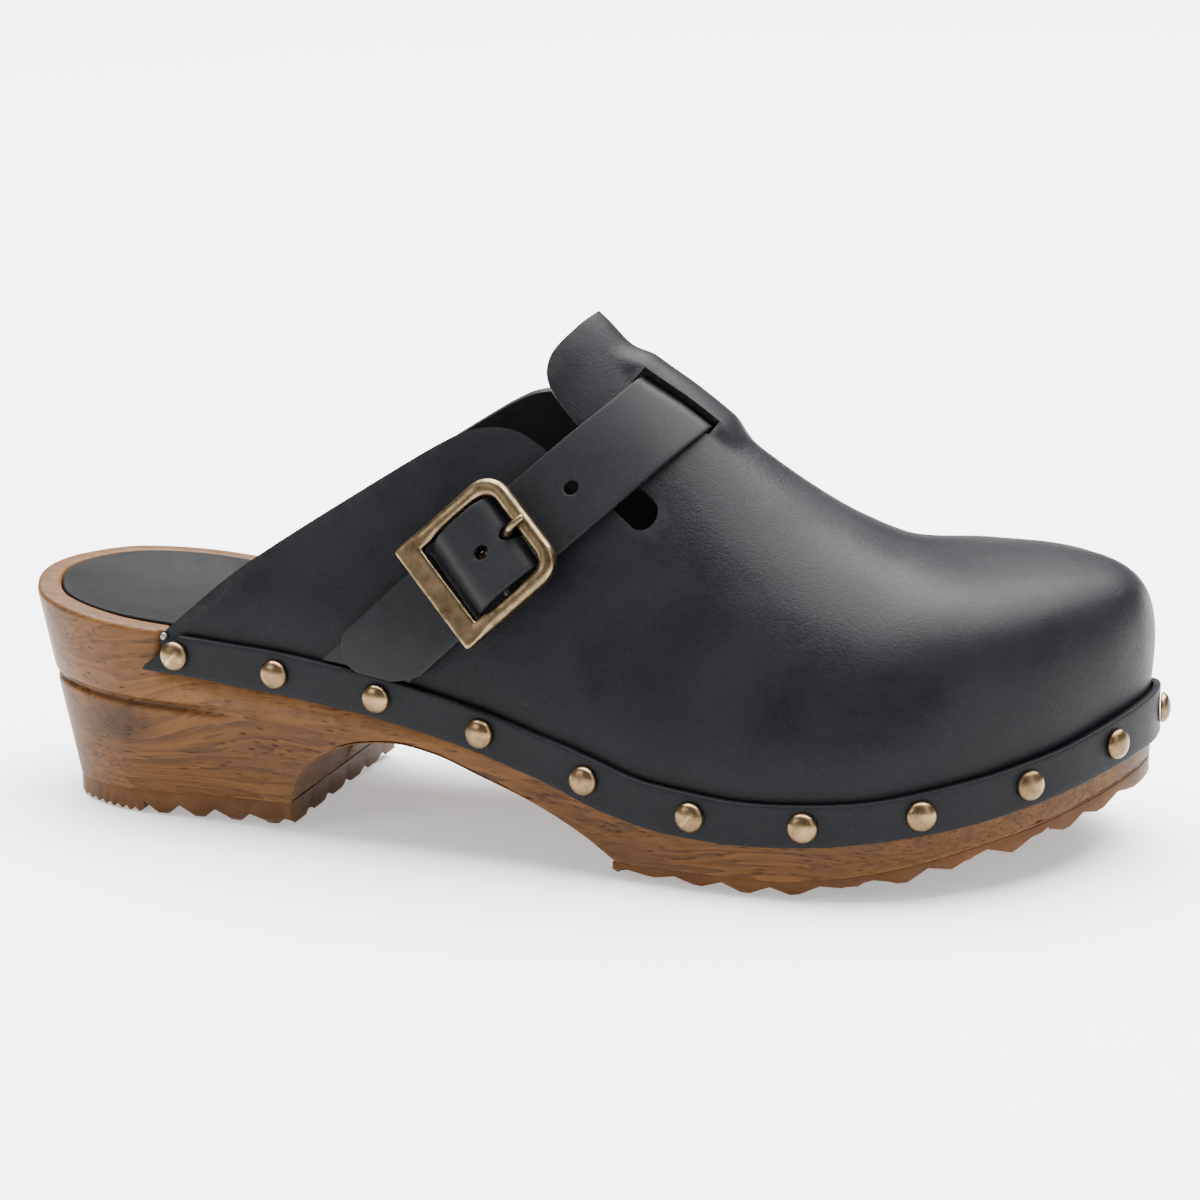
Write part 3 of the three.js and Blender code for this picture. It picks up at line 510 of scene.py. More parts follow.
def remap(tree, value, low, high, to_low=0.0, to_high=1.0, smoothly=False):
    made = node(tree, "ShaderNodeMapRange", {
        "Value": value, "From Min": low, "From Max": high, "To Min": to_low, "To Max": to_high},
        interpolation_type="SMOOTHSTEP" if smoothly else "LINEAR")
    return made.outputs["Result"]


def maths(tree, operation, a, b=0.0):
    return node(tree, "ShaderNodeMath", {0: a, 1: b}, operation=operation).outputs[0]


def product(tree, a, b):
    return maths(tree, "MULTIPLY", a, b)


def vector_maths(tree, operation, sockets):
    return node(tree, "ShaderNodeVectorMath", sockets, operation=operation).outputs


def mixed(tree, share, a, b):
    return node(tree, "ShaderNodeMix", {0: share, 6: a, 7: b}, data_type="RGBA").outputs[2]


def layered(tree, tone, layers):
    """Lay colours over a tone: each layer has a mask, how strongly it shows, and its colour."""
    for mask, share, colour in layers:
        tone = mixed(tree, product(tree, mask, share), tone, colour)
    return tone


def summed(tree, value, parts):
    """Add (mask, amount) parts to a value."""
    for mask, amount in parts:
        value = maths(tree, "ADD", value, product(tree, mask, amount))
    return value


def stretched(tree, vector, scale, turn=(0, 0, 0)):
    return node(tree, "ShaderNodeMapping", {
        "Vector": vector, "Scale": scale, "Rotation": turn}).outputs["Vector"]


def bump(tree, height, strength, distance, normal=None):
    sockets = {"Height": height, "Strength": strength, "Distance": distance}
    if normal is not None:
        sockets["Normal"] = normal
    return node(tree, "ShaderNodeBump", sockets).outputs["Normal"]


def new_group(name, inputs, outputs):
    """Node group with its own inputs and outputs; returns the tree and its two end nodes."""
    tree = bpy.data.node_groups.new(name, "ShaderNodeTree")
    for label, kind, default in inputs:
        socket = tree.interface.new_socket(label, in_out="INPUT", socket_type="NodeSocket" + kind)
        if default is not None:
            socket.default_value = default
    for label, kind in outputs:
        tree.interface.new_socket(label, in_out="OUTPUT", socket_type="NodeSocket" + kind)
    return tree, tree.nodes.new("NodeGroupInput").outputs, tree.nodes.new("NodeGroupOutput").inputs


def use(tree, group, sockets):
    return node(tree, "ShaderNodeGroup", sockets, node_tree=group).outputs


def material(name):
    made = bpy.data.materials.new(name)
    made.use_nodes = True
    tree = made.node_tree
    shader = tree.nodes["Principled BSDF"]
    where = tree.nodes.new("ShaderNodeTexCoord").outputs["Object"]
    return made, tree, shader, where


def rgb(red, green, blue):
    return (red, green, blue, 1)


def grey(value):
    return rgb(value, value, value)


# ---- shared effects ----
def make_edge_wear_and_hollows():
    """How much a raised edge has been rubbed, broken up by noise, and how far a surface lies in a hollow."""
    tree, inp, out = new_group("edge_wear_and_hollows", [("Vector", "Vector", None), ("Reach", "Float", 0.06)],
                               [("Mask", "Float"), ("Hollow", "Float")])
    point = node(tree, "ShaderNodeNewGeometry", {}).outputs["Pointiness"]
    patches = noise(tree, inp["Vector"], 420.0, 5.0, 0.65)
    high = remap(tree, point, 0.5, maths(tree, "ADD", 0.5, inp["Reach"]))
    plug(tree, out, {"Mask": product(tree, high, remap(tree, patches, 0.3, 0.62)),
                     "Hollow": remap(tree, point, 0.5, 0.42)})
    return tree


def make_leather_grain():
    """Fine full-grain leather: pebbles with creases between them, pores and soft folds."""
    tree, inp, out = new_group("leather_grain", [("Vector", "Vector", None), ("Size", "Float", 1.0)],
                               [("Pebble", "Float"), ("Fold", "Float"), ("Pores", "Float")])
    at = inp["Vector"]
    stir = node(tree, "ShaderNodeTexNoise", {"Vector": at, "Scale": 260.0, "Detail": 2.0}).outputs["Color"]
    stir = vector_maths(tree, "SCALE", {0: stir, "Scale": 0.0016})[0]
    bent = vector_maths(tree, "ADD", {0: at, 1: stir})[0]
    small = cells(tree, bent, maths(tree, "DIVIDE", 1150.0, inp["Size"]))
    large = cells(tree, bent, maths(tree, "DIVIDE", 520.0, inp["Size"]))
    pebble = summed(tree, product(tree, remap(tree, small, 0.0, 0.22, smoothly=True), 0.55),
                    [(remap(tree, large, 0.0, 0.16, smoothly=True), 0.45)])
    fold = noise(tree, stretched(tree, at, (1.0, 0.45, 0.7), (0, 0.5, 0.3)), 75.0, 5.0, 0.62, 1.1)
    pores = remap(tree, noise(tree, at, 2600.0, 2.0), 0.56, 0.7)
    plug(tree, out, {"Pebble": pebble, "Fold": fold, "Pores": pores})
    return tree


def make_smudges():
    """Broad uneven patches and fine speckles, for polish, oil and dust."""
    tree, inp, out = new_group("smudges", [("Vector", "Vector", None), ("Scale", "Float", 30.0)],
                               [("Patch", "Float"), ("Speckle", "Float")])
    patch = noise(tree, inp["Vector"], inp["Scale"], 6.0, 0.6, 0.4)
    speck = noise(tree, inp["Vector"], 1500.0, 3.0, 0.7)
    plug(tree, out, {"Patch": remap(tree, patch, 0.32, 0.68, smoothly=True),
                     "Speckle": remap(tree, speck, 0.55, 0.75)})
    return tree


def make_wood_grain():
    """Lengthwise grain of stained wood with growth lines, short dark pores and a knot."""
    tree, inp, out = new_group("wood_grain", [("Vector", "Vector", None), ("Knot", "Vector", (0, 0, 0))],
                               [("Lines", "Float"), ("Fibre", "Float"), ("Pores", "Float"),
                                ("Knot", "Float"), ("Stain", "Float")])
    at = inp["Vector"]
    away = vector_maths(tree, "SUBTRACT", {0: at, 1: inp["Knot"]})[0]
    near = vector_maths(tree, "LENGTH", {0: stretched(tree, away, (0.55, 0.25, 1.0))})["Value"]
    x, y, z = node(tree, "ShaderNodeSeparateXYZ", {0: at}).outputs
    drift = noise(tree, stretched(tree, at, (0.3, 0.8, 1.0)), 22.0, 2.0)
    bent_z = summed(tree, z, [(remap(tree, near, 0.02, 0.0, smoothly=True), 0.006),
                              (maths(tree, "SUBTRACT", drift, 0.5), 0.022)])
    bent = node(tree, "ShaderNodeCombineXYZ", {0: x, 1: y, 2: bent_z}).outputs[0]
    rings = noise(tree, stretched(tree, bent, (0.05, 0.6, 1.0)), 190.0, 3.0, 0.5)
    pores = remap(tree, cells(tree, stretched(tree, bent, (0.13, 1.0, 1.0)), 1300.0, "F1"), 0.3, 0.14)
    scatter = remap(tree, noise(tree, stretched(tree, bent, (0.3, 1.0, 1.0)), 260.0, 2.0), 0.4, 0.56)
    stain = noise(tree, stretched(tree, bent, (0.35, 0.7, 1.0)), 42.0, 4.0, 0.6)
    plug(tree, out, {
        "Lines": remap(tree, maths(tree, "FRACT", product(tree, rings, 7.0)), 0.0, 1.0),
        "Fibre": noise(tree, stretched(tree, bent, (0.035, 1.0, 1.0)), 1500.0, 4.0, 0.65),
        "Pores": product(tree, pores, scatter),
        "Knot": remap(tree, near, 0.009, 0.0005, smoothly=True),
        "Stain": remap(tree, stain, 0.35, 0.68, smoothly=True)})
    return tree


EDGE_WEAR_AND_HOLLOWS = make_edge_wear_and_hollows()
LEATHER_GRAIN = make_leather_grain()
SMUDGES = make_smudges()
WOOD_GRAIN = make_wood_grain()


# ---- materials ----
def leather_look(name, dark, light, rough, grain_size, relief, coat):
    made, tree, shader, where = material(name)
    grain = use(tree, LEATHER_GRAIN, {"Vector": where, "Size": grain_size})
    oil = use(tree, SMUDGES, {"Vector": where, "Scale": 34.0})
    wear_and_hollows = use(tree, EDGE_WEAR_AND_HOLLOWS, {"Vector": where, "Reach": 0.09})
    shine = remap(tree, oil["Patch"], 0.0, 1.0, rough - 0.06, rough + 0.08)
    folds = bump(tree, grain["Fold"], 0.3, 0.0007 * relief)
    pebbles = bump(tree, grain["Pebble"], 0.35, 0.00008 * relief, folds)
    plug(tree, shader.inputs, {
        "Base Color": layered(tree, mixed(tree, oil["Patch"], rgb(*dark), rgb(*light)), [
            (grain["Pores"], 0.35, grey(0.004)), (wear_and_hollows["Mask"], 0.3, rgb(0.02, 0.0195, 0.021)),
            (oil["Speckle"], 0.06, rgb(0.1, 0.097, 0.094))]),
        "Roughness": summed(tree, shine, [(grain["Pebble"], -0.06), (wear_and_hollows["Mask"], 0.06)]),
        "Normal": bump(tree, grain["Pores"], 0.25, -0.00005 * relief, pebbles),
        "Specular IOR Level": 0.075, "Coat Weight": coat, "Coat IOR": 1.3, "Coat Roughness": 0.3})
    return made


def suede_look(name, dark, light):
    made, tree, shader, where = material(name)
    fuzz = noise(tree, where, 1400.0, 5.0, 0.7)
    nap = use(tree, SMUDGES, {"Vector": where, "Scale": 60.0})
    plug(tree, shader.inputs, {
        "Base Color": layered(tree, mixed(tree, nap["Patch"], rgb(*dark), rgb(*light)),
                              [(fuzz, 0.3, grey(0.02))]),
        "Roughness": remap(tree, fuzz, 0.2, 0.8, 0.75, 0.95),
        "Normal": bump(tree, fuzz, 0.5, 0.0003), "Specular IOR Level": 0.1, "Sheen Weight": 0.02})
    return made


def wood_look():
    made, tree, shader, where = material("stained_alder")
    grain = use(tree, WOOD_GRAIN, {"Vector": where, "Knot": tuple(world([31.5, -31, 22.5]))})
    wear_and_hollows = use(tree, EDGE_WEAR_AND_HOLLOWS, {"Vector": where, "Reach": 0.05})
    stain = use(tree, SMUDGES, {"Vector": where, "Scale": 26.0})
    tone = mixed(tree, remap(tree, grain["Lines"], 0.1, 0.95), rgb(0.108, 0.043, 0.0098),
                 rgb(0.036, 0.0132, 0.0033))
    tone = layered(tree, tone, [(grain["Stain"], 0.55, rgb(0.02, 0.0075, 0.0024))])
    tone = mixed(tree, remap(tree, grain["Fibre"], 0.35, 0.7, 0.0, 0.5), tone, rgb(0.12, 0.052, 0.0125))
    shine = remap(tree, grain["Fibre"], 0.2, 0.8, 0.36, 0.52)
    fibres = bump(tree, grain["Fibre"], 0.3, 0.00018)
    plug(tree, shader.inputs, {
        "Base Color": layered(tree, tone, [
            (grain["Pores"], 0.75, rgb(0.012, 0.0045, 0.002)),
            (grain["Knot"], 0.85, rgb(0.018, 0.0065, 0.003)),
            # Painted shade: the Hollow layer darkens the wood's colour where the surface lies in a hollow.
            # The rubbed-edge layer after it is real wear.
            (wear_and_hollows["Hollow"], 0.75, rgb(0.016, 0.006, 0.0025)), (wear_and_hollows["Mask"], 0.4, rgb(0.17, 0.085, 0.034))]),
        "Roughness": summed(tree, shine, [(stain["Patch"], 0.08), (grain["Pores"], 0.2)]),
        "Normal": bump(tree, grain["Pores"], 0.5, -0.00022, fibres),
        "Specular IOR Level": 0.12, "Coat Weight": 0.02, "Coat Roughness": 0.3})
    return made


def rubber_look():
    made, tree, shader, where = material("caramel_rubber")
    marks = use(tree, SMUDGES, {"Vector": where, "Scale": 48.0})
    wear_and_hollows = use(tree, EDGE_WEAR_AND_HOLLOWS, {"Vector": where, "Reach": 0.08})
    dust = noise(tree, where, 900.0, 5.0, 0.7)
    tone = mixed(tree, marks["Patch"], rgb(0.05, 0.0185, 0.0044), rgb(0.082, 0.0325, 0.0078))
    plug(tree, shader.inputs, {
        "Base Color": layered(tree, tone, [(marks["Speckle"], 0.25, rgb(0.025, 0.01, 0.004)),
                                           (wear_and_hollows["Mask"], 0.3, rgb(0.13, 0.062, 0.024))]),
        "Roughness": remap(tree, dust, 0.25, 0.75, 0.42, 0.62), "Normal": bump(tree, dust, 0.25, 0.00018),
        "Specular IOR Level": 0.12, "Subsurface Weight": 0.12,
        "Subsurface Radius": (0.004, 0.002, 0.001), "Subsurface Scale": 0.6})
    return made


def metal_look(name, bright, dull, deep, rough, wear_reach):
    made, tree, shader, where = material(name)
    patina = use(tree, SMUDGES, {"Vector": where, "Scale": 160.0})
    wear_and_hollows = use(tree, EDGE_WEAR_AND_HOLLOWS, {"Vector": where, "Reach": wear_reach})
    fine = noise(tree, where, 2400.0, 4.0, 0.6)
    scratch = noise(tree, stretched(tree, where, (1.0, 0.06, 0.3), (0.4, 0.2, 0.7)), 5200.0, 2.0)
    tone = mixed(tree, patina["Patch"], rgb(*dull), rgb(*deep))
    tone = layered(tree, tone, [(wear_and_hollows["Hollow"], 0.8, rgb(*deep)), (wear_and_hollows["Mask"], 1.0, rgb(*bright))])
    shine = summed(tree, remap(tree, patina["Patch"], 0.0, 1.0, rough, rough + 0.16), [(wear_and_hollows["Mask"], -0.08)])
    dents = bump(tree, noise(tree, where, 480.0, 2.0), 0.18, 0.0002)
    plug(tree, shader.inputs, {
        "Base Color": tone, "Metallic": 1.0,
        "Roughness": maths(tree, "ADD", shine, remap(tree, fine, 0.3, 0.7, -0.03, 0.05)),
        "Normal": bump(tree, scratch, 0.12, 0.00004, dents)})
    return made


# Leather: dark and light tone, roughness, grain size, relief, coat.
UPPER_LOOK = leather_look("black_oiled_leather", (0.0047, 0.005, 0.0063), (0.008, 0.0083, 0.01),
                          0.46, 1.0, 1.0, 0.035)
# Painted light: the strap and chape leather is set lighter than the upper's, standing in for the light that
# the strap's surface catches.
STRAP_LOOK = leather_look("black_strap_leather", (0.0075, 0.0078, 0.009), (0.013, 0.0133, 0.015),
                          0.5, 0.85, 0.6, 0.09)
RAND_LOOK = leather_look("black_rand_leather", (0.0045, 0.0048, 0.006), (0.008, 0.0082, 0.0098),
                         0.48, 0.9, 0.8, 0.02)
INSOLE_LOOK = leather_look("matt_insole_leather", (0.0018, 0.0017, 0.0017), (0.0032, 0.0031, 0.003),
                           0.66, 0.8, 0.45, 0.0)
LINING_LOOK = suede_look("black_suede_lining", (0.006, 0.0058, 0.006), (0.012, 0.0112, 0.011))
FOAM_LOOK = suede_look("dark_foam", (0.03, 0.03, 0.03), (0.045, 0.045, 0.045))
WOOD_LOOK = wood_look()
RUBBER_LOOK = rubber_look()
# Metal: rubbed, dull and hollow tone, roughness, reach of the rubbed edges.
BRASS_LOOK = metal_look("antique_brass", (0.36, 0.275, 0.165), (0.125, 0.083, 0.043),
                        (0.035, 0.022, 0.012), 0.27, 0.06)
STUD_LOOK = metal_look("satin_brass_nail", (0.36, 0.255, 0.14), (0.19, 0.125, 0.062),
                       (0.06, 0.037, 0.018), 0.25, 0.08)
STEEL_LOOK = metal_look("dull_steel", (0.36, 0.35, 0.33), (0.2, 0.19, 0.175),
                        (0.09, 0.085, 0.08), 0.34, 0.06)


# ---- wooden sole ----
def at_run(path, run, want):
    """Places and outward directions at lengths along a side line."""
    p = np.stack([np.interp(want, run, path[:, k]) for k in range(4)], -1)
    p[..., 2:] /= np.linalg.norm(p[..., 2:], axis=-1)[..., None]
    return p


def plan_stations(count, fine=()):
    """Stations round the plan at even spacing, with extra ones where fine = (x0, x1, step)."""
    table = np.vstack([PLAN_FULL, PLAN_FULL[:1]])
    run = running_length(table[:, :2])
    want = list(np.linspace(0, run[-1], count, endpoint=False))
    for x0, x1, step in fine:
        for target in np.arange(x0, x1, step):
            for part in (slice(0, TOE_INDEX + 1), slice(TOE_INDEX, None)):
                order = np.argsort(table[part, 0])
                want.append(float(np.interp(target, table[part, 0][order], run[part][order])))
    return at_run(table, run, np.unique(np.round(want, 3)))


GROOVE_Z = 29.8
GROOVE_DEEP = 1.2
GROOVE_HALF = 1.9
RIM_R = 1.4
REBATE = 2.6        # how far the wood stands back under the upper
UNDER_UPPER = 1.2
WELL = 4.2          # depth of the straight wall round the insole


def make_wooden_sole():
    at = plan_stations(430, [(74.2, 79.5, 0.35)])
    x = at[:, 0]
    feather = FEATHER(x)
    low = sole_bottom(x)
    groove_z = np.minimum(GROOVE_Z, 0.6 * feather)
    open_rim = 1 - smooth(44.6, 45.3, x)
    fade = 1 - smooth(50, 66, x)
    skirt = np.maximum(RAND_LOW(np.maximum(x, 40)) + 1.2, low + 0.5)
    rows = []

    def ring(z, extra=0.0, tapered=True):
        """Closed line at height z, drawn in from the plan."""
        inset = (feather - z) * TAPER(x) * tapered + extra
        rows.append(np.column_stack([at[:, :2] - at[:, 2:] * inset[:, None], z]))

    mid_x = np.clip(x, 30, 236)
    foot = at[:, :2] - at[:, 2:] * ((feather - low) * TAPER(x) + 0.12)[:, None]
    for share in (0.02, 0.25, 0.5, 0.75, 0.9, 0.985):
        p = np.column_stack([mid_x + (foot[:, 0] - mid_x) * share, foot[:, 1] * share])
        rows.append(np.column_stack([p, sole_bottom(p[:, 0])]))
    for dz, extra in ((0.0, 0.12), (0.15, 0.03), (0.6, 0.0)):
        ring(low + dz, extra)
    below = np.maximum(groove_z - GROOVE_HALF, low + 1)
    for share in (0.25, 0.5, 0.75, 1):
        ring(low + (below - low) * share)
    for dz, deep in ((-1.35, 0.12), (-0.9, 0.45), (-0.45, 0.9), (0, 1.0), (0.45, 0.9), (0.9, 0.45),
                     (1.35, 0.12), (GROOVE_HALF, 0.0)):
        ring(np.maximum(groove_z + dz, below), GROOVE_DEEP * deep * fade)
    above = np.maximum(groove_z + GROOVE_HALF, below)
    cut = REBATE * (1 - open_rim)
    step_z = np.where(open_rim > 0.5, above + (feather - above) * 0.4, np.maximum(skirt, above + 0.05))
    ring(step_z)
    ring(step_z + 0.02, cut)
    for angle in (0, 15, 30, 45, 60, 75, 90):
        a = math.radians(angle)
        z = feather - RIM_R * (1 - math.sin(a))
        z = np.where(open_rim > 0.5, z, np.maximum(z - UNDER_UPPER, step_z + 0.05))
        ring(z, cut + RIM_R * (1 - math.cos(a)) * open_rim)
    top = np.where(open_rim > 0.5, feather, feather - UNDER_UPPER)
    for drop, inset in ((0, 4.2), (0.02, RIM - 0.45), (0.4, RIM), (WELL, RIM)):
        ring(top - drop, inset, tapered=False)
    for share in (0.75, 0.4, 0.02):
        p = np.column_stack([mid_x + (x - mid_x) * share * 0.85, at[:, 1] * share * 0.85])
        rows.append(np.column_stack([p, FEATHER(p[:, 0]) - 4.8 - DISH * (1 - share ** 2)]))
    new_piece("carved_wooden_sole", close_ends(section_grid(rows)), WOOD_LOOK, "clog", "wooden_sole")


# ---- rubber treads ----
# Each cleat row is (pitch, width of the flat tip).
CROSS = (11, 2)
HEEL_ROW = (9.33, 2)
HEEL_FINE = (2.6, 0.6)
FORE_ROW = (11.1, 2)
TIP_ROW = (5.5, 1.2)
HEEL_ROW_X = 36
FORE_ROW_X = 161
TIP_ROW_X = 250
HEEL_END_X = 75.1
FORE_END_X = 249.8
FINE_LIFT = 0.4     # the fine rows' tips above the big ones'
GLUE_LINE = 0.03


def tapered_line(line, over):
    """One side of the plan, drawn in by the sole's taper at the height over(x)."""
    x = line[:, 0]
    inset = TAPER(x) * (FEATHER(x) - over(x)) + 0.1
    p = line[:, :2] - line[:, 2:] * inset[:, None]
    return p[np.argsort(p[:, 0])]


def tapered_width(x, over):
    outer = tapered_line(OUTER_LINE, over)
    inner_side = tapered_line(INNER_LINE, over)
    return np.interp(x, *outer.T), np.interp(x, *inner_side.T)


def cleat_height(v, start, pitch, land, height):
    """Height of a trapezoid cleat row above its tips at v; tips are land wide."""
    phase = np.mod(v - start, pitch)
    half = (pitch - land) / 2
    return height * np.maximum(np.maximum(1 - phase / half, (phase - half - land) / half), 0)


def cleat_lines(start, stop, pitch, land):
    """Cross positions of the cleats' corners, each with a near twin so that edges stay crisp."""
    half = (pitch - land) / 2
    lines = []
    k = start
    while k < stop + pitch:
        lines += [k - 0.15, k + 0.15, k + half, k + half + land]
        k += pitch
    return [v for v in lines if start <= v <= stop]


def tread(name, x_lines, under, over, replaced):
    """Rubber block with a cleated underside, trimmed to the plan."""
    x = np.unique(np.round(x_lines, 3))
    y_lines = np.unique(np.round(np.r_[np.linspace(-48.5, 48.5, 61), cleat_lines(-49.5, 49.5, *CROSS)], 3))
    outer, inner_y = tapered_width(x, over)
    columns = []
    for i, xi in enumerate(x):
        y = np.clip(y_lines, outer[i], inner_y[i])
        columns.append(np.column_stack([np.full_like(y, xi), y, under(np.full_like(y, xi), y)]))
    bm = section_grid(columns, closed_across=False)
    bmesh.ops.dissolve_degenerate(bm, edges=bm.edges[:], dist=2e-6)
    made = bmesh.ops.extrude_face_region(bm, geom=bm.faces[:])
    for v in made["geom"]:
        if isinstance(v, bmesh.types.BMVert):
            x_mm = (v.co.x - ORIGIN[0]) / MM
            v.co.z = float(over(np.array(x_mm))) * MM
    bmesh.ops.recalc_face_normals(bm, faces=bm.faces[:])
    piece = new_piece(name, bm, RUBBER_LOOK, "clog", replaced)
    add_bevel(piece, 0.22, 2, 35)


def ends_dense(x0, x1, count):
    """Positions from x0 to x1, closer together near x0."""
    return list(x0 + (x1 - x0) * np.linspace(0, 1, count) ** 2.2)


def make_treads():
    def heel_under(x, y):
        coarse = np.maximum(cleat_height(x, HEEL_ROW_X, *HEEL_ROW, 3), cleat_height(y, 0, *CROSS, 3))
        fine = FINE_LIFT + cleat_height(x, HEEL_ROW_X, *HEEL_FINE, 1)
        return np.where(x > HEEL_ROW_X, coarse, fine)

    def heel_over(x):
        return heel_bottom(x) - GLUE_LINE

    heel_x = ends_dense(tapered_line(OUTER_LINE, heel_over)[0, 0] + 0.02, HEEL_ROW_X, 26)
    heel_x += cleat_lines(HEEL_ROW_X, HEEL_END_X, *HEEL_ROW) + [HEEL_ROW_X + 0.01, HEEL_END_X]
    fine_x = HEEL_ROW_X - HEEL_FINE[0] * 12
    heel_x += [v for v in cleat_lines(fine_x, HEEL_ROW_X, *HEEL_FINE) if v > 13]
    tread("cleated_heel_rubber", heel_x, heel_under, heel_over, "heel_tread")

    def fore_under(x, y):
        tip = TIP_LINE(x)
        coarse = np.maximum(cleat_height(x, FORE_ROW_X, *FORE_ROW, 2.7), cleat_height(y, 0, *CROSS, 2.5))
        fine = FINE_LIFT + cleat_height(x, TIP_ROW_X, *TIP_ROW, 1.6)
        return tip + np.minimum(np.where(x < FORE_END_X, coarse, fine), TREAD_THICK - 0.5)

    def fore_over(x):
        return TIP_LINE(x) + TREAD_THICK - GLUE_LINE

    fore_x = cleat_lines(FORE_ROW_X, FORE_END_X, *FORE_ROW)
    fore_x += [157.2, FORE_X, 159.5, FORE_ROW_X, FORE_END_X, FORE_END_X + 0.1]
    tip_x = tapered_line(OUTER_LINE, fore_over)[-1, 0] - 0.02
    fore_x += cleat_lines(TIP_ROW_X, 261, *TIP_ROW) + ends_dense(tip_x, 245, 24)
    tread("cleated_forefoot_rubber", fore_x, fore_under, fore_over, "forefoot_tread")


# ---- insole ----
INSOLE_PLAY = 0.35


def insole_layer(name, drop, thick, edge_r, look, replaced):
    at = plan_stations(300)
    x = at[:, 0]
    inset = RIM + INSOLE_PLAY
    rows = []
    mid_x = np.clip(x, 34, 226)

    def level(share, depth, squeeze=0.0):
        edge = at[:, :2] - at[:, 2:] * (inset + squeeze)
        centre = np.column_stack([mid_x, np.zeros_like(x)])
        p = centre + (edge - centre) * share
        z = FEATHER(p[:, 0]) - depth - DISH * (1 - share ** 2)
        return np.column_stack([p, z])

    for share in (0.02, 0.4, 0.8, 1):
        rows.append(level(share, drop + thick))
    for angle in (0, 22.5, 45, 67.5, 90):
        a = math.radians(angle)
        rows.append(level(1, drop + edge_r * (1 - math.sin(a)), edge_r * (1 - math.cos(a))))
    for share in (0.96, 0.9, 0.8, 0.65, 0.5, 0.35, 0.2, 0.02):
        rows.append(level(share, drop, edge_r))
    bm = section_grid([wavy(r, 22, 0.12) for r in rows])
    close_ends(bm)
    piece = new_piece(name, bm, look, "clog", replaced)


# ---- rand, studs and nails ----
RIM_START = 40.5
FIRST_STUD_X = 49
CORNER_NAIL_X = 46


def rim_path():
    outer, back = [line[line[:, 0] >= RIM_START] for line in (OUTER_LINE, INNER_LINE)]
    path = np.vstack([outer, back[::-1][1:]])
    return path, running_length(path[:, :2])


def stud_places():
    path, _ = rim_path()
    path = path[path[:, 0] >= FIRST_STUD_X]
    run = running_length(path[:, :2] + path[:, 2:] * RAND_OUT)
    count = round(run[-1] / STUD_PITCH) + 1
    p = at_run(path, run, np.linspace(0, run[-1], count))
    z = (FEATHER(p[:, 0]) + RAND_LOW(p[:, 0])) / 2
    return np.column_stack([p[:, :2] + p[:, 2:] * RAND_OUT, z]), p[:, 2:]


STUD_AT, STUD_OUT = stud_places()


def near_studs(points, reach):
    """How close points are to a stud, 1 at its middle and 0 beyond reach."""
    d = np.linalg.norm(points[..., None, :] - STUD_AT, axis=-1).min(-1)
    return np.exp(-(d / reach) ** 2)


RAND_CORNER = 0.55
RAND_START = 4.5    # rand's ends, in from the ends of the rim's line
RAND_LEAN = 9.5     # slant of the cut ends
STUD_DENT = 0.22
TOE_SIDE = np.array([150.0, 0.0, 0.0])


def make_rand():
    path, run = rim_path()
    total = run[-1]
    corner = RAND_CORNER
    section = []
    for cx, cz, start in ((1, 1, 0), (0, 1, 90), (0, 0, 180), (1, 0, 270)):
        for k in range(4):
            a = math.radians(start + 30 * k)
            section.append((cx, cz, corner * math.cos(a), corner * math.sin(a)))
    section += [(1, k / 9, corner, 0) for k in range(1, 9)]
    rows = []
    for u in np.linspace(0, 1, 420):
        row = []
        for cx, cz, ox, oz in section:
            lean = (cz - 0.5) * RAND_LEAN * (smooth(0.1, 0, u) - smooth(0.9, 1, u))
            p = at_run(path, run, np.clip(u * total + RAND_START * (1 - 2 * u) + lean, 0, total))
            low, high = RAND_LOW(p[0]), FEATHER(p[0])
            z = low + corner + (high - low - 2 * corner) * cz + oz
            out = RAND_PROUD + corner + (RAND_THICK - 2 * corner) * cx + ox
            row.append((p[0] + p[2] * out, p[1] + p[3] * out, z))
        rows.append(row)
    rows = np.array(rows)
    flat = rows.reshape(-1, 3)
    pressed = near_studs(flat, 5.0)
    inward = TOE_SIDE - flat
    inward[:, 2] = 0
    inward /= np.linalg.norm(inward, axis=1)[:, None]
    is_face = np.tile([cx == 1 for cx, *_ in section], len(rows))
    flat += inward * (pressed * STUD_DENT * is_face)[:, None]
    bm = section_grid(list(wavy(flat, 9, 0.1).reshape(rows.shape)))
    close_ends(bm)
    piece = new_piece("nailed_leather_rand", bm, RAND_LOOK, "clog", "rand")
    add_bevel(piece, 0.3, 2, 60)


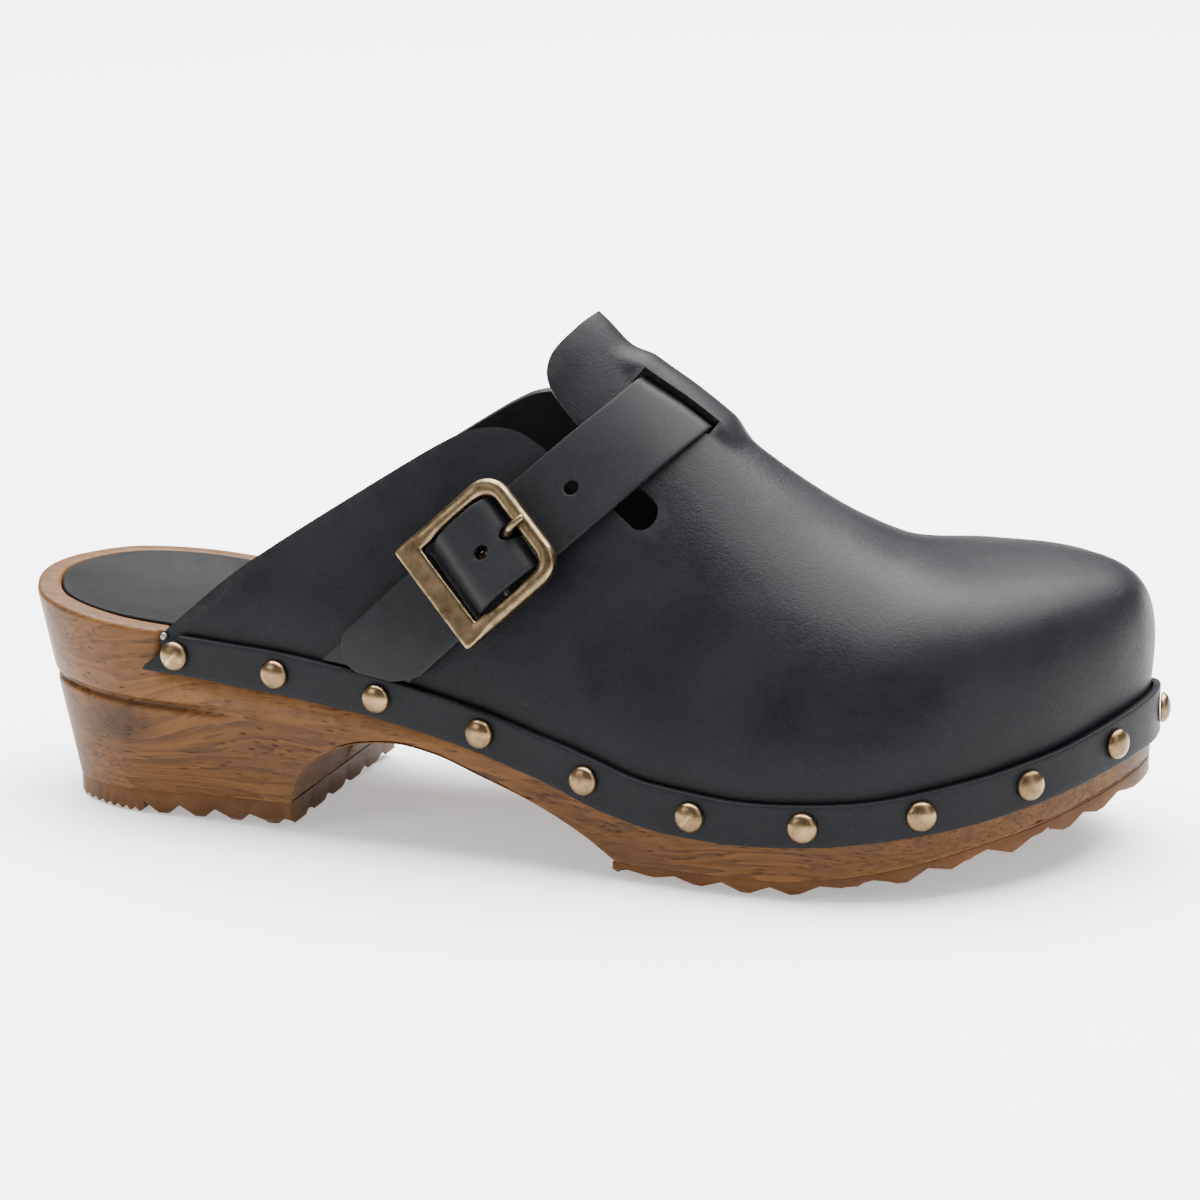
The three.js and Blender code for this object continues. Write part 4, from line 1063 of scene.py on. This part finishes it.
def dome(name, centre, out, radius, height, look, replaced, spin):
    """Round nail head with a thin straight foot, laid against a side face."""
    bm = bmesh.new()
    bmesh.ops.create_uvsphere(bm, u_segments=36, v_segments=20, radius=1)
    cut = bmesh.ops.bisect_plane(bm, geom=bm.verts[:] + bm.edges[:] + bm.faces[:], plane_co=(0, 0, 0),
                                 plane_no=(0, 0, 1), clear_inner=True, dist=1e-5)
    rim = [e for e in cut["geom_cut"] if isinstance(e, bmesh.types.BMEdge)]
    for v in bm.verts:
        v.co = Vector((v.co.x * radius, v.co.y * radius, v.co.z * (height - 0.35) + 0.35))
    skirt = bmesh.ops.extrude_edge_only(bm, edges=rim)
    for v in skirt["geom"]:
        if isinstance(v, bmesh.types.BMVert):
            v.co.z = 0.0
    bmesh.ops.holes_fill(bm, edges=[e for e in bm.edges if e.is_boundary], sides=0)
    bmesh.ops.recalc_face_normals(bm, faces=bm.faces[:])
    turn = Vector((0, 0, 1)).rotation_difference(Vector((out[0], out[1], 0.0)).normalized())
    place = Matrix.Translation(Vector(centre)) @ turn.to_matrix().to_4x4() @ Matrix.Rotation(spin, 4, "Z")
    bmesh.ops.transform(bm, matrix=place, verts=bm.verts[:])
    for v in bm.verts:
        v.co = Vector(world(v.co))
    piece = new_piece(name, bm, look, "clog", replaced)
    add_bevel(piece, 0.12, 2, 50)


def make_nails():
    for i, (p, n) in enumerate(zip(STUD_AT, STUD_OUT)):
        at = [p[0] + n[0] * 0.02, p[1] + n[1] * 0.02, p[2]]
        dome(f"dome_stud_{i + 1:02d}", at, n, STUD_R, STUD_H, STUD_LOOK,
             f"stud_{i + 1:02d}", 0.9 * i)
    for name, line in (("near", OUTER_LINE), ("far", INNER_LINE)):
        p = line[int(np.argmax(line[:, 0] >= CORNER_NAIL_X))]
        at = [p[0] - p[2] * UPPER_GAP, p[1] - p[3] * UPPER_GAP, float(FEATHER(p[0])) - 1]
        dome(f"corner_nail_head_{name}", at, p[2:], 0.9, 0.95, STEEL_LOOK,
             f"corner_nail_{name}", 0.3)


# ---- upper ----
FLAT_S = 245.0
FLAT_T = 85.0
TOPLINE = [(47.3, 47.4), (61.8, 59.6), (74, 68.3), (91.6, 79.6), (104.9, 88), (112, 92.2), (118, 95),
           (124.5, 96), (130, 95.2), (134.5, 93), (137.4, 91.1)]
SLOT_END = (159.6, 79.1)
SLOT_R = 3.3
TAB = [(143.6, 96.1), (139.6, 100), (136.1, 103.6), (134.2, 107), (134.2, 110.5), (135.6, 113.2),
       (138, 116)]
TAB_TOP_X = 140.3
SKIRT_T = 1.17
PATTERN_SPACING = 1.55
BRIDGE_WAY = np.array([0.5, 0, 0.85])
UNEVEN = 0.16       # how far the leather wanders from the last
HEM_PINCH = 0.25    # how far the studs draw the hem in


def bridge_rise(p):
    away = np.abs(p[..., 1] - RIDGE_Y(p[..., 0]))
    across = np.abs(across_strap(p))
    in_strap = 1 - smooth(STRAP_WIDE / 2 + 1, STRAP_WIDE / 2 + 9, across)
    return BRIDGE_RISE * in_strap * (1 - smooth(BRIDGE_HALF, BRIDGE_HALF + SLIT, away))


def opening_edge(side):
    """Edge of the foot opening on one side, from the back corner to the top of the tab."""
    tilt = math.atan2(-STRAP_X, STRAP_Z)
    arc = []
    for k in range(13):
        a = tilt + 0.1 - math.pi / 2 + math.pi * k / 12
        arc.append((SLOT_END[0] + SLOT_R * math.cos(a), SLOT_END[1] + SLOT_R * math.sin(a)))
    line = np.vstack([catmull(TOPLINE, 10), arc, catmull(TAB, 10)])
    length = np.linalg.norm(np.diff(line, axis=0), axis=1).sum()
    line = even(line, int(length / 0.8))
    s, t = solve_form(line, lambda p: p[..., [0, 2]], side)
    return s, t


def make_upper():
    s_grid = np.linspace(0, 0.8, 801)
    start_s, far_s, top_s = [float(np.interp(x, form(s_grid, t)[:, 0], s_grid))
                             for x, t in ((UPPER_BACK, -1.0), (UPPER_BACK, 1.0), (TAB_TOP_X, 0.0))]
    outline = [(start_s, t) for t in np.linspace(-SKIRT_T, -1.02, 6)]
    s, t = opening_edge(-1)
    outline += list(zip(s, t))
    k = np.linspace(0, 1, 10)[1:]
    outline += [(s[-1] + (top_s - s[-1]) * math.sin(v * math.pi / 2), t[-1] * (1 - v)) for v in k]
    s, t = opening_edge(1)
    back = [(s[-1] + (top_s - s[-1]) * math.sin(v * math.pi / 2), t[-1] * (1 - v)) for v in k[:-1]][::-1]
    outline += back + list(zip(s[::-1], t[::-1]))
    outline += [(far_s, t) for t in np.linspace(1.02, SKIRT_T, 6)]
    outline += [(v, SKIRT_T) for v in np.linspace(far_s, 1, 150)[1:]]
    outline += [(1, v) for v in np.linspace(SKIRT_T, -SKIRT_T, 131)[1:]]
    outline += [(v, -SKIRT_T) for v in np.linspace(1, start_s, 150)[1:-1]]
    outline = np.array(outline) * (FLAT_S, FLAT_T)
    holes = []
    for side in (-1, 1):
        half = STRAP_WIDE / 2 + 0.7
        ring = ([(v, BRIDGE_HALF) for v in np.linspace(-half, half, 22)]
                + [(v, BRIDGE_HALF + SLIT) for v in np.linspace(half, -half, 22)])
        s, t = solve_form(
            ring, lambda p: np.stack([across_strap(p), np.abs(p[..., 1] - RIDGE_Y(p[..., 0]))], -1),
            side, (0.25, 0.75))
        holes.append(np.column_stack([s, t]) * (FLAT_S, FLAT_T))

    def place(flat):
        s, t = flat[:, 0] / FLAT_S, flat[:, 1] / FLAT_T
        p = form(s, t)
        n = form_normal(s, np.clip(t, -1, 1))
        twin = smooth(0.96, 1, s)[:, None]
        n = n + twin * form_normal(s, np.clip(-t, -1, 1))
        n /= np.linalg.norm(n, axis=1)[:, None]
        rise = bridge_rise(p)
        p = p + rise[:, None] * BRIDGE_WAY
        out = np.array([noise_field.noise(Vector(v / 17.0)) for v in p]) * UNEVEN
        low = FEATHER(p[:, 0])
        hem = np.exp(-((p[:, 2] - low) / 7.0) ** 2)
        puckers = near_studs(np.column_stack([p[:, :2], low - 5]), 7.5)
        out = out * (1 - 0.6 * hem) - HEM_PINCH * hem * puckers
        return p + n * out[:, None]

    leather_sheet("nailed_leather_upper", outline, holes, place, PATTERN_SPACING, LEATHER, UPPER_LOOK,
                  "upper", -1, 0.35)


# ---- strap, chape, buckle and prong ----
HUMP_LIFT = BAR_LIFT + EYE_R + 3 * GAP
LOW_LIFT = GAP + 0.1
LIFT_LINE = graph([(-42, TAIL_LIFT), (-20, TAIL_LIFT), (-9, TAIL_LIFT), (-5.5, HUMP_LIFT - 2.4),
                   (-2.8, HUMP_LIFT - 0.3), (0, HUMP_LIFT), (3.5, HUMP_LIFT - 0.3),
                   (6, HUMP_LIFT - 1.2), (8, HUMP_LIFT - 2.9), (10, LOW_LIFT + 1.2),
                   (12, LOW_LIFT + 0.2), (16, LOW_LIFT), (60, LOW_LIFT)])
FREE_HOLES = (23.2, 1.7)
PRONG_HOLE = (8.5, 2.5, 1.6)
TAIL_END = [(-36.9, 9.4), (-39.2, 7.4), (-40.5, 4.6), (-40.2, 1.6), (-38.6, -1.6), (-36, -4.6),
            (-32.5, -7.3), (-28.2, -9.4)]


def s_on_strap(w, t):
    """Form parameter s where the section line t crosses the strap's line w."""
    low = np.zeros_like(w)
    high = np.ones_like(w)
    for _ in range(28):
        s = (low + high) / 2
        before = across_strap(form(s, t)) > w
        low = np.where(before, s, low)
        high = np.where(before, high, s)
    return (low + high) / 2


class StrapPath:
    """Lengths along the upper on the strap's lines, measured from the ridge."""

    def __init__(self):
        self.w = np.linspace(-11, 11, 45)
        self.t = np.linspace(-0.9995, 0.9995, 501)
        w_all, t_all = np.meshgrid(self.w, self.t, indexing="ij")
        p = form(s_on_strap(w_all, t_all), t_all)
        steps = np.linalg.norm(np.diff(p, axis=1), axis=2)
        run = np.concatenate([np.zeros((len(self.w), 1)), np.cumsum(steps, axis=1)], axis=1)
        self.run = run - run[:, len(self.t) // 2][:, None]
        self.q = along_strap(p)
        self.above = p[..., 2] - FEATHER(p[..., 0])

    def _columns(self, w):
        k = np.clip((w - self.w[0]) / (self.w[1] - self.w[0]), 0, len(self.w) - 1.001)
        return k.astype(int), k - k.astype(int)

    def t_at(self, run, w):
        i, share = self._columns(w)
        low = np.array([np.interp(r, self.run[k], self.t) for r, k in zip(run, i)])
        high = np.array([np.interp(r, self.run[k + 1], self.t) for r, k in zip(run, i)])
        return low + (high - low) * share

    def run_at_q(self, q, w):
        """Length at strap position q on the outer flank."""
        i, share = self._columns(np.asarray(w, float))
        half = len(self.t) // 2
        got = [[np.interp(v, self.q[c, :half], self.run[c, :half]) for c in (k, k + 1)]
               for v, k in zip(q, i)]
        got = np.array(got)
        return got[:, 0] + (got[:, 1] - got[:, 0]) * share

    def run_at_rand(self, w, side, above):
        i, share = self._columns(np.asarray(w, float))
        half = len(self.t) // 2
        ends = []
        for k in i:
            if side < 0:
                ends.append(np.interp(above, self.above[k, :half], self.run[k, :half]))
            else:
                ends.append(np.interp(-above, -self.above[k, half:], self.run[k, half:]))
        return np.array(ends)


PATH = StrapPath()


def lay_on(flat, lift):
    w = flat[:, 1]
    t = PATH.t_at(flat[:, 0], w)
    s = s_on_strap(w, t)
    p = form(s, t)
    n = form_normal(s, t)
    return p + n * lift(p, t)[:, None]


def strap_lift(p, t):
    flank = np.where(t < 0, LIFT_LINE(along_strap(p)), LOW_LIFT)
    away = np.abs(p[:, 1] - RIDGE_Y(p[:, 0]))
    under = 1 - smooth(BRIDGE_HALF - 0.5, BRIDGE_HALF + SLIT + 1, away)
    return flank * (1 - under) + (GAP / 2 - LEATHER) * under


def round_hole(q, rq, rw):
    a = np.linspace(0, 2 * math.pi, 24, endpoint=False)
    w = rw * np.sin(a)
    return np.column_stack([PATH.run_at_q(q + rq * np.cos(a), w), w])


def make_strap():
    half = STRAP_WIDE / 2
    tail = even(catmull(TAIL_END, 12), 44)
    outline = list(np.column_stack([PATH.run_at_q(tail[:, 0], tail[:, 1]), tail[:, 1]]))
    start = outline[-1][0]
    end = PATH.run_at_rand([-half], 1, 0.6)[0]
    outline += [(v, -half) for v in np.linspace(start, end, int((end - start) / 0.9))[1:]]
    w = np.linspace(-half, half, 22)[1:]
    outline += list(np.column_stack([PATH.run_at_rand(w, 1, 0.6), w]))
    start, end = outline[-1][0], outline[0][0]
    outline += [(v, half) for v in np.linspace(start, end, int((start - end) / 0.9))[1:-1]]
    holes = [round_hole(q, HOLE_R, HOLE_R) for q in FREE_HOLES] + [round_hole(*PRONG_HOLE)]
    leather_sheet("instep_strap", outline, holes, lambda f: lay_on(f, strap_lift), 0.95,
                  STRAP_THICK, STRAP_LOOK, "strap", 1, 0.35)


def make_chape():
    half = CHAPE_WIDE / 2
    w = np.linspace(-half, half, 19)
    first = PATH.run_at_rand(w, -1, 0.6)
    last = PATH.run_at_q(np.full(2, -1.0), np.array([half, -half]))
    outline = list(np.column_stack([first, w]))
    outline += [(v, half) for v in np.linspace(first[-1], last[0], 50)[1:]]
    outline += [(last[0] + (last[1] - last[0]) * v, half - 2 * half * v) for v in np.linspace(0, 1, 19)[1:]]
    outline += [(v, -half) for v in np.linspace(last[1], first[0], 50)[1:-1]]
    leather_sheet("buckle_chape_strip", outline, [], lambda f: lay_on(f, lambda p, t: np.full(
        len(p), GAP)), 1.1, CHAPE_THICK, STRAP_LOOK, "buckle_chape", 1, 0.25)
    inner_r = EYE_R - CHAPE_THICK
    turn = np.radians(np.linspace(180, -150, 34))
    arcs = [(r * math.cos(a), BAR_LIFT + r * math.sin(a))
            for r, angles in ((EYE_R, turn), (inner_r, turn[::-1])) for a in angles]
    profile = [(-EYE_R, 0.6)] + arcs + [(-inner_r, 0.6)]
    room = PRONG_R + GAP
    bm = bmesh.new()
    for y0, y1 in ((-half, -room), (room, half)):
        steps = np.linspace(y0, y1, 9)
        add_part(bm, close_ends(section_grid([on_seat([(q, y, h) for q, h in profile]) for y in steps])))
    piece = new_piece("buckle_chape_loop", bm, STRAP_LOOK, "clog", "buckle_chape")
    add_bevel(piece, 0.2, 2, 55)


def rounded_section(half_w, half_h, power, count):
    a = np.linspace(0, 2 * math.pi, count, endpoint=False)
    c, s = np.cos(a), np.sin(a)
    return np.column_stack([np.sign(c) * np.abs(c) ** (2 / power) * half_w,
                            np.sign(s) * np.abs(s) ** (2 / power) * half_h])


def corner_arc(cx, cy, r, start, count):
    a = np.radians(np.linspace(start, start + 90, count))
    return [(cx + r * math.cos(v), cy + r * math.sin(v)) for v in a]


OUTER_CORNER = 6.3
INNER_CORNER = 3.2


def make_buckle_frame():
    x, y = BUCKLE_LONG / 2, BUCKLE_WIDE / 2
    ix0, ix1, iy = -x + PLATE_WIDE, x - ROD, y - ROD
    straight, turn = 16, 11

    def side(a, b):
        return [tuple(np.array(a) + (np.array(b) - np.array(a)) * k / straight) for k in range(1, straight)]

    def loop(x0, x1, half, r_far, r_plate):
        """Rounded oblong with one corner radius at the far end and another at the plate."""
        arcs = [corner_arc(x1 - r_far, r_far - half, r_far, -90, turn),
                corner_arc(x1 - r_far, half - r_far, r_far, 0, turn),
                corner_arc(x0 + r_plate, half - r_plate, r_plate, 90, turn),
                corner_arc(x0 + r_plate, r_plate - half, r_plate, 180, turn)]
        line = []
        for before, arc in zip(arcs[-1:] + arcs[:-1], arcs):
            line += side(before[-1], arc[0]) + arc
        return line

    outer = np.array(loop(-x, x, y, OUTER_CORNER, 1.0))
    inner_loop = np.array(loop(ix0, ix1, iy, INNER_CORNER, 0.5))
    rows = []
    for o, i in zip(outer, inner_loop):
        middle = (o + i) / 2
        half_w = np.linalg.norm(o - i) / 2
        out = (o - i) / (2 * half_w)
        plate = float(smooth(ix0 + 2.5, ix0 - 0.5, middle[0]))
        half_h = ROD / 2 - 0.35 * plate
        section = rounded_section(half_w, half_h, 2.5 + 2.6 * plate, 28)
        rows.append([(middle[0] + out[0] * a, middle[1] + out[1] * a,
                      BUCKLE_LIFT + b + 0.15 * plate) for a, b in section])
    rows.append(rows[0])
    bm = section_grid([on_seat(wavy(np.array(r), 5, 0.05)) for r in rows])
    new_piece("cast_buckle_frame", bm, BRASS_LOOK, "buckle", "buckle_frame")


def tube(points, radii, up):
    """Sections of a round rod along a line; up is a direction the line never takes."""
    p = np.array(points, float)
    d = np.gradient(p, axis=0)
    d /= np.linalg.norm(d, axis=1)[:, None]
    side = np.cross(d, up)
    side /= np.linalg.norm(side, axis=1)[:, None]
    other = np.cross(d, side)
    a = np.linspace(0, 2 * math.pi, 20, endpoint=False)
    return [p[k] + (np.cos(a)[:, None] * side[k] + np.sin(a)[:, None] * other[k]) * radii[k]
            for k in range(len(p))]


PRONG_LINE = [(1.2, 0.3), (4, 0.1), (6.8, 0.5), (9, 2.3), (10.8, 3.8), (12.6, 4), (14.4, 3.5)]


def make_bar_and_prong():
    half = BUCKLE_WIDE / 2 - 0.5
    line = [(0, v, BAR_LIFT) for v in np.linspace(-half, half, 30)]
    rows = tube(line, np.full(30, BAR_R), (1.0, 0, 0))
    bar = new_piece("buckle_pin_bar", close_ends(section_grid([on_seat(r) for r in rows])), STEEL_LOOK,
                    "buckle", "buckle_bar")
    add_bevel(bar, 0.2, 2, 50)
    line = even(catmull([(q, 0, BAR_LIFT + h) for q, h in PRONG_LINE], 14), 70)
    k = np.linspace(0, 1, 70)
    radii = PRONG_R * (1 - 0.25 * smooth(0.55, 1, k)) * np.sqrt(np.clip((1 - k) / 0.03, 0.02, 1))
    prong = section_grid([on_seat(r) for r in tube(line, radii, (0, 1.0, 0))])
    close_ends(prong)
    mid_r = (BAR_R + PIVOT_GAP + EYE_R) / 2
    rows = []
    for a in np.linspace(0, 2 * math.pi, 41):
        c, s = math.cos(a), math.sin(a)
        rows.append([((mid_r + u) * c, v, BAR_LIFT + (mid_r + u) * s)
                     for u, v in rounded_section(CHAPE_THICK / 2, PRONG_R, 3.5, 20)])
    add_part(prong, section_grid([on_seat(r) for r in rows]))
    new_piece("buckle_prong", prong, BRASS_LOOK, "prong", "prong")


make_wooden_sole()
make_treads()
insole_layer("insole_leather_cover", COVER_DROP, COVER_THICK, 0.6, INSOLE_LOOK,
             "insole_cover")
insole_layer("insole_foam_layer", COVER_DROP + COVER_THICK + GAP, FOAM_THICK, 0.3, FOAM_LOOK,
             "insole_foam")
make_rand()
make_nails()
make_upper()
make_strap()
make_chape()
make_buckle_frame()
make_bar_and_prong()


# ---- floor, light and camera ----
def studio():
    bm = bmesh.new()
    bmesh.ops.create_circle(bm, cap_ends=True, segments=96, radius=7)
    floor = in_scene("studio_floor", mesh_from(bm, "studio_floor"))
    made, tree, shader, where = material("pale_floor")
    speck = noise(tree, where, 60.0, 3.0)
    plug(tree, shader.inputs, {"Base Color": mixed(tree, speck, grey(0.86), grey(0.88)), "Roughness": 0.9,
                               "Emission Color": grey(1), "Emission Strength": 0.5})
    floor.data.materials.append(made)
    sky = bpy.data.worlds.new("white_studio")
    sky.use_nodes = True
    back = sky.node_tree.nodes["Background"]
    plug(sky.node_tree, back.inputs, {"Color": grey(1), "Strength": 0.32})
    bpy.context.scene.world = sky
    for name, at, size, power in (("overhead_softbox", (0.0, 0.8, 2.3), (3.8, 3.2), 620.0),
                                  ("front_softbox", (-1.0, -1.3, 0.9), (0.9, 0.7), 9.0),
                                  ("right_strip", (1.3, -0.6, 0.7), (0.35, 1.1), 6.0)):
        light = bpy.data.lights.new(name, "AREA")
        light.shape = "RECTANGLE"
        light.size, light.size_y = size
        light.energy = power
        lamp = in_scene(name, light)
        lamp.location = at
        aim = Vector((0, 0, 0.05)) - Vector(at)
        lamp.rotation_euler = aim.to_track_quat("-Z", "Y").to_euler()


AZIMUTH, ELEVATION, ROLL = 19.5, 14.94, -1.18
AIM = (140.03, 0, 51.35)
DISTANCE = 0.8838
LENS = 115.6


def camera():
    azimuth, elevation, roll = [math.radians(v) for v in (AZIMUTH, ELEVATION, ROLL)]
    back = Vector((math.sin(azimuth) * math.cos(elevation), -math.cos(azimuth) * math.cos(elevation),
                   math.sin(elevation)))
    right = Vector((math.cos(azimuth), math.sin(azimuth), 0))
    up = back.cross(right)
    turned_right = right * math.cos(roll) + up * math.sin(roll)
    turned_up = up * math.cos(roll) - right * math.sin(roll)
    target = Vector(world(AIM))
    data = bpy.data.cameras.new("product_camera")
    data.lens = LENS
    data.sensor_width = 36
    made = in_scene("product_camera", data)
    made.matrix_world = Matrix.Translation(target + back * DISTANCE) @ Matrix(
        (turned_right, turned_up, back)).transposed().to_4x4()
    bpy.context.scene.camera = made


studio()
camera()
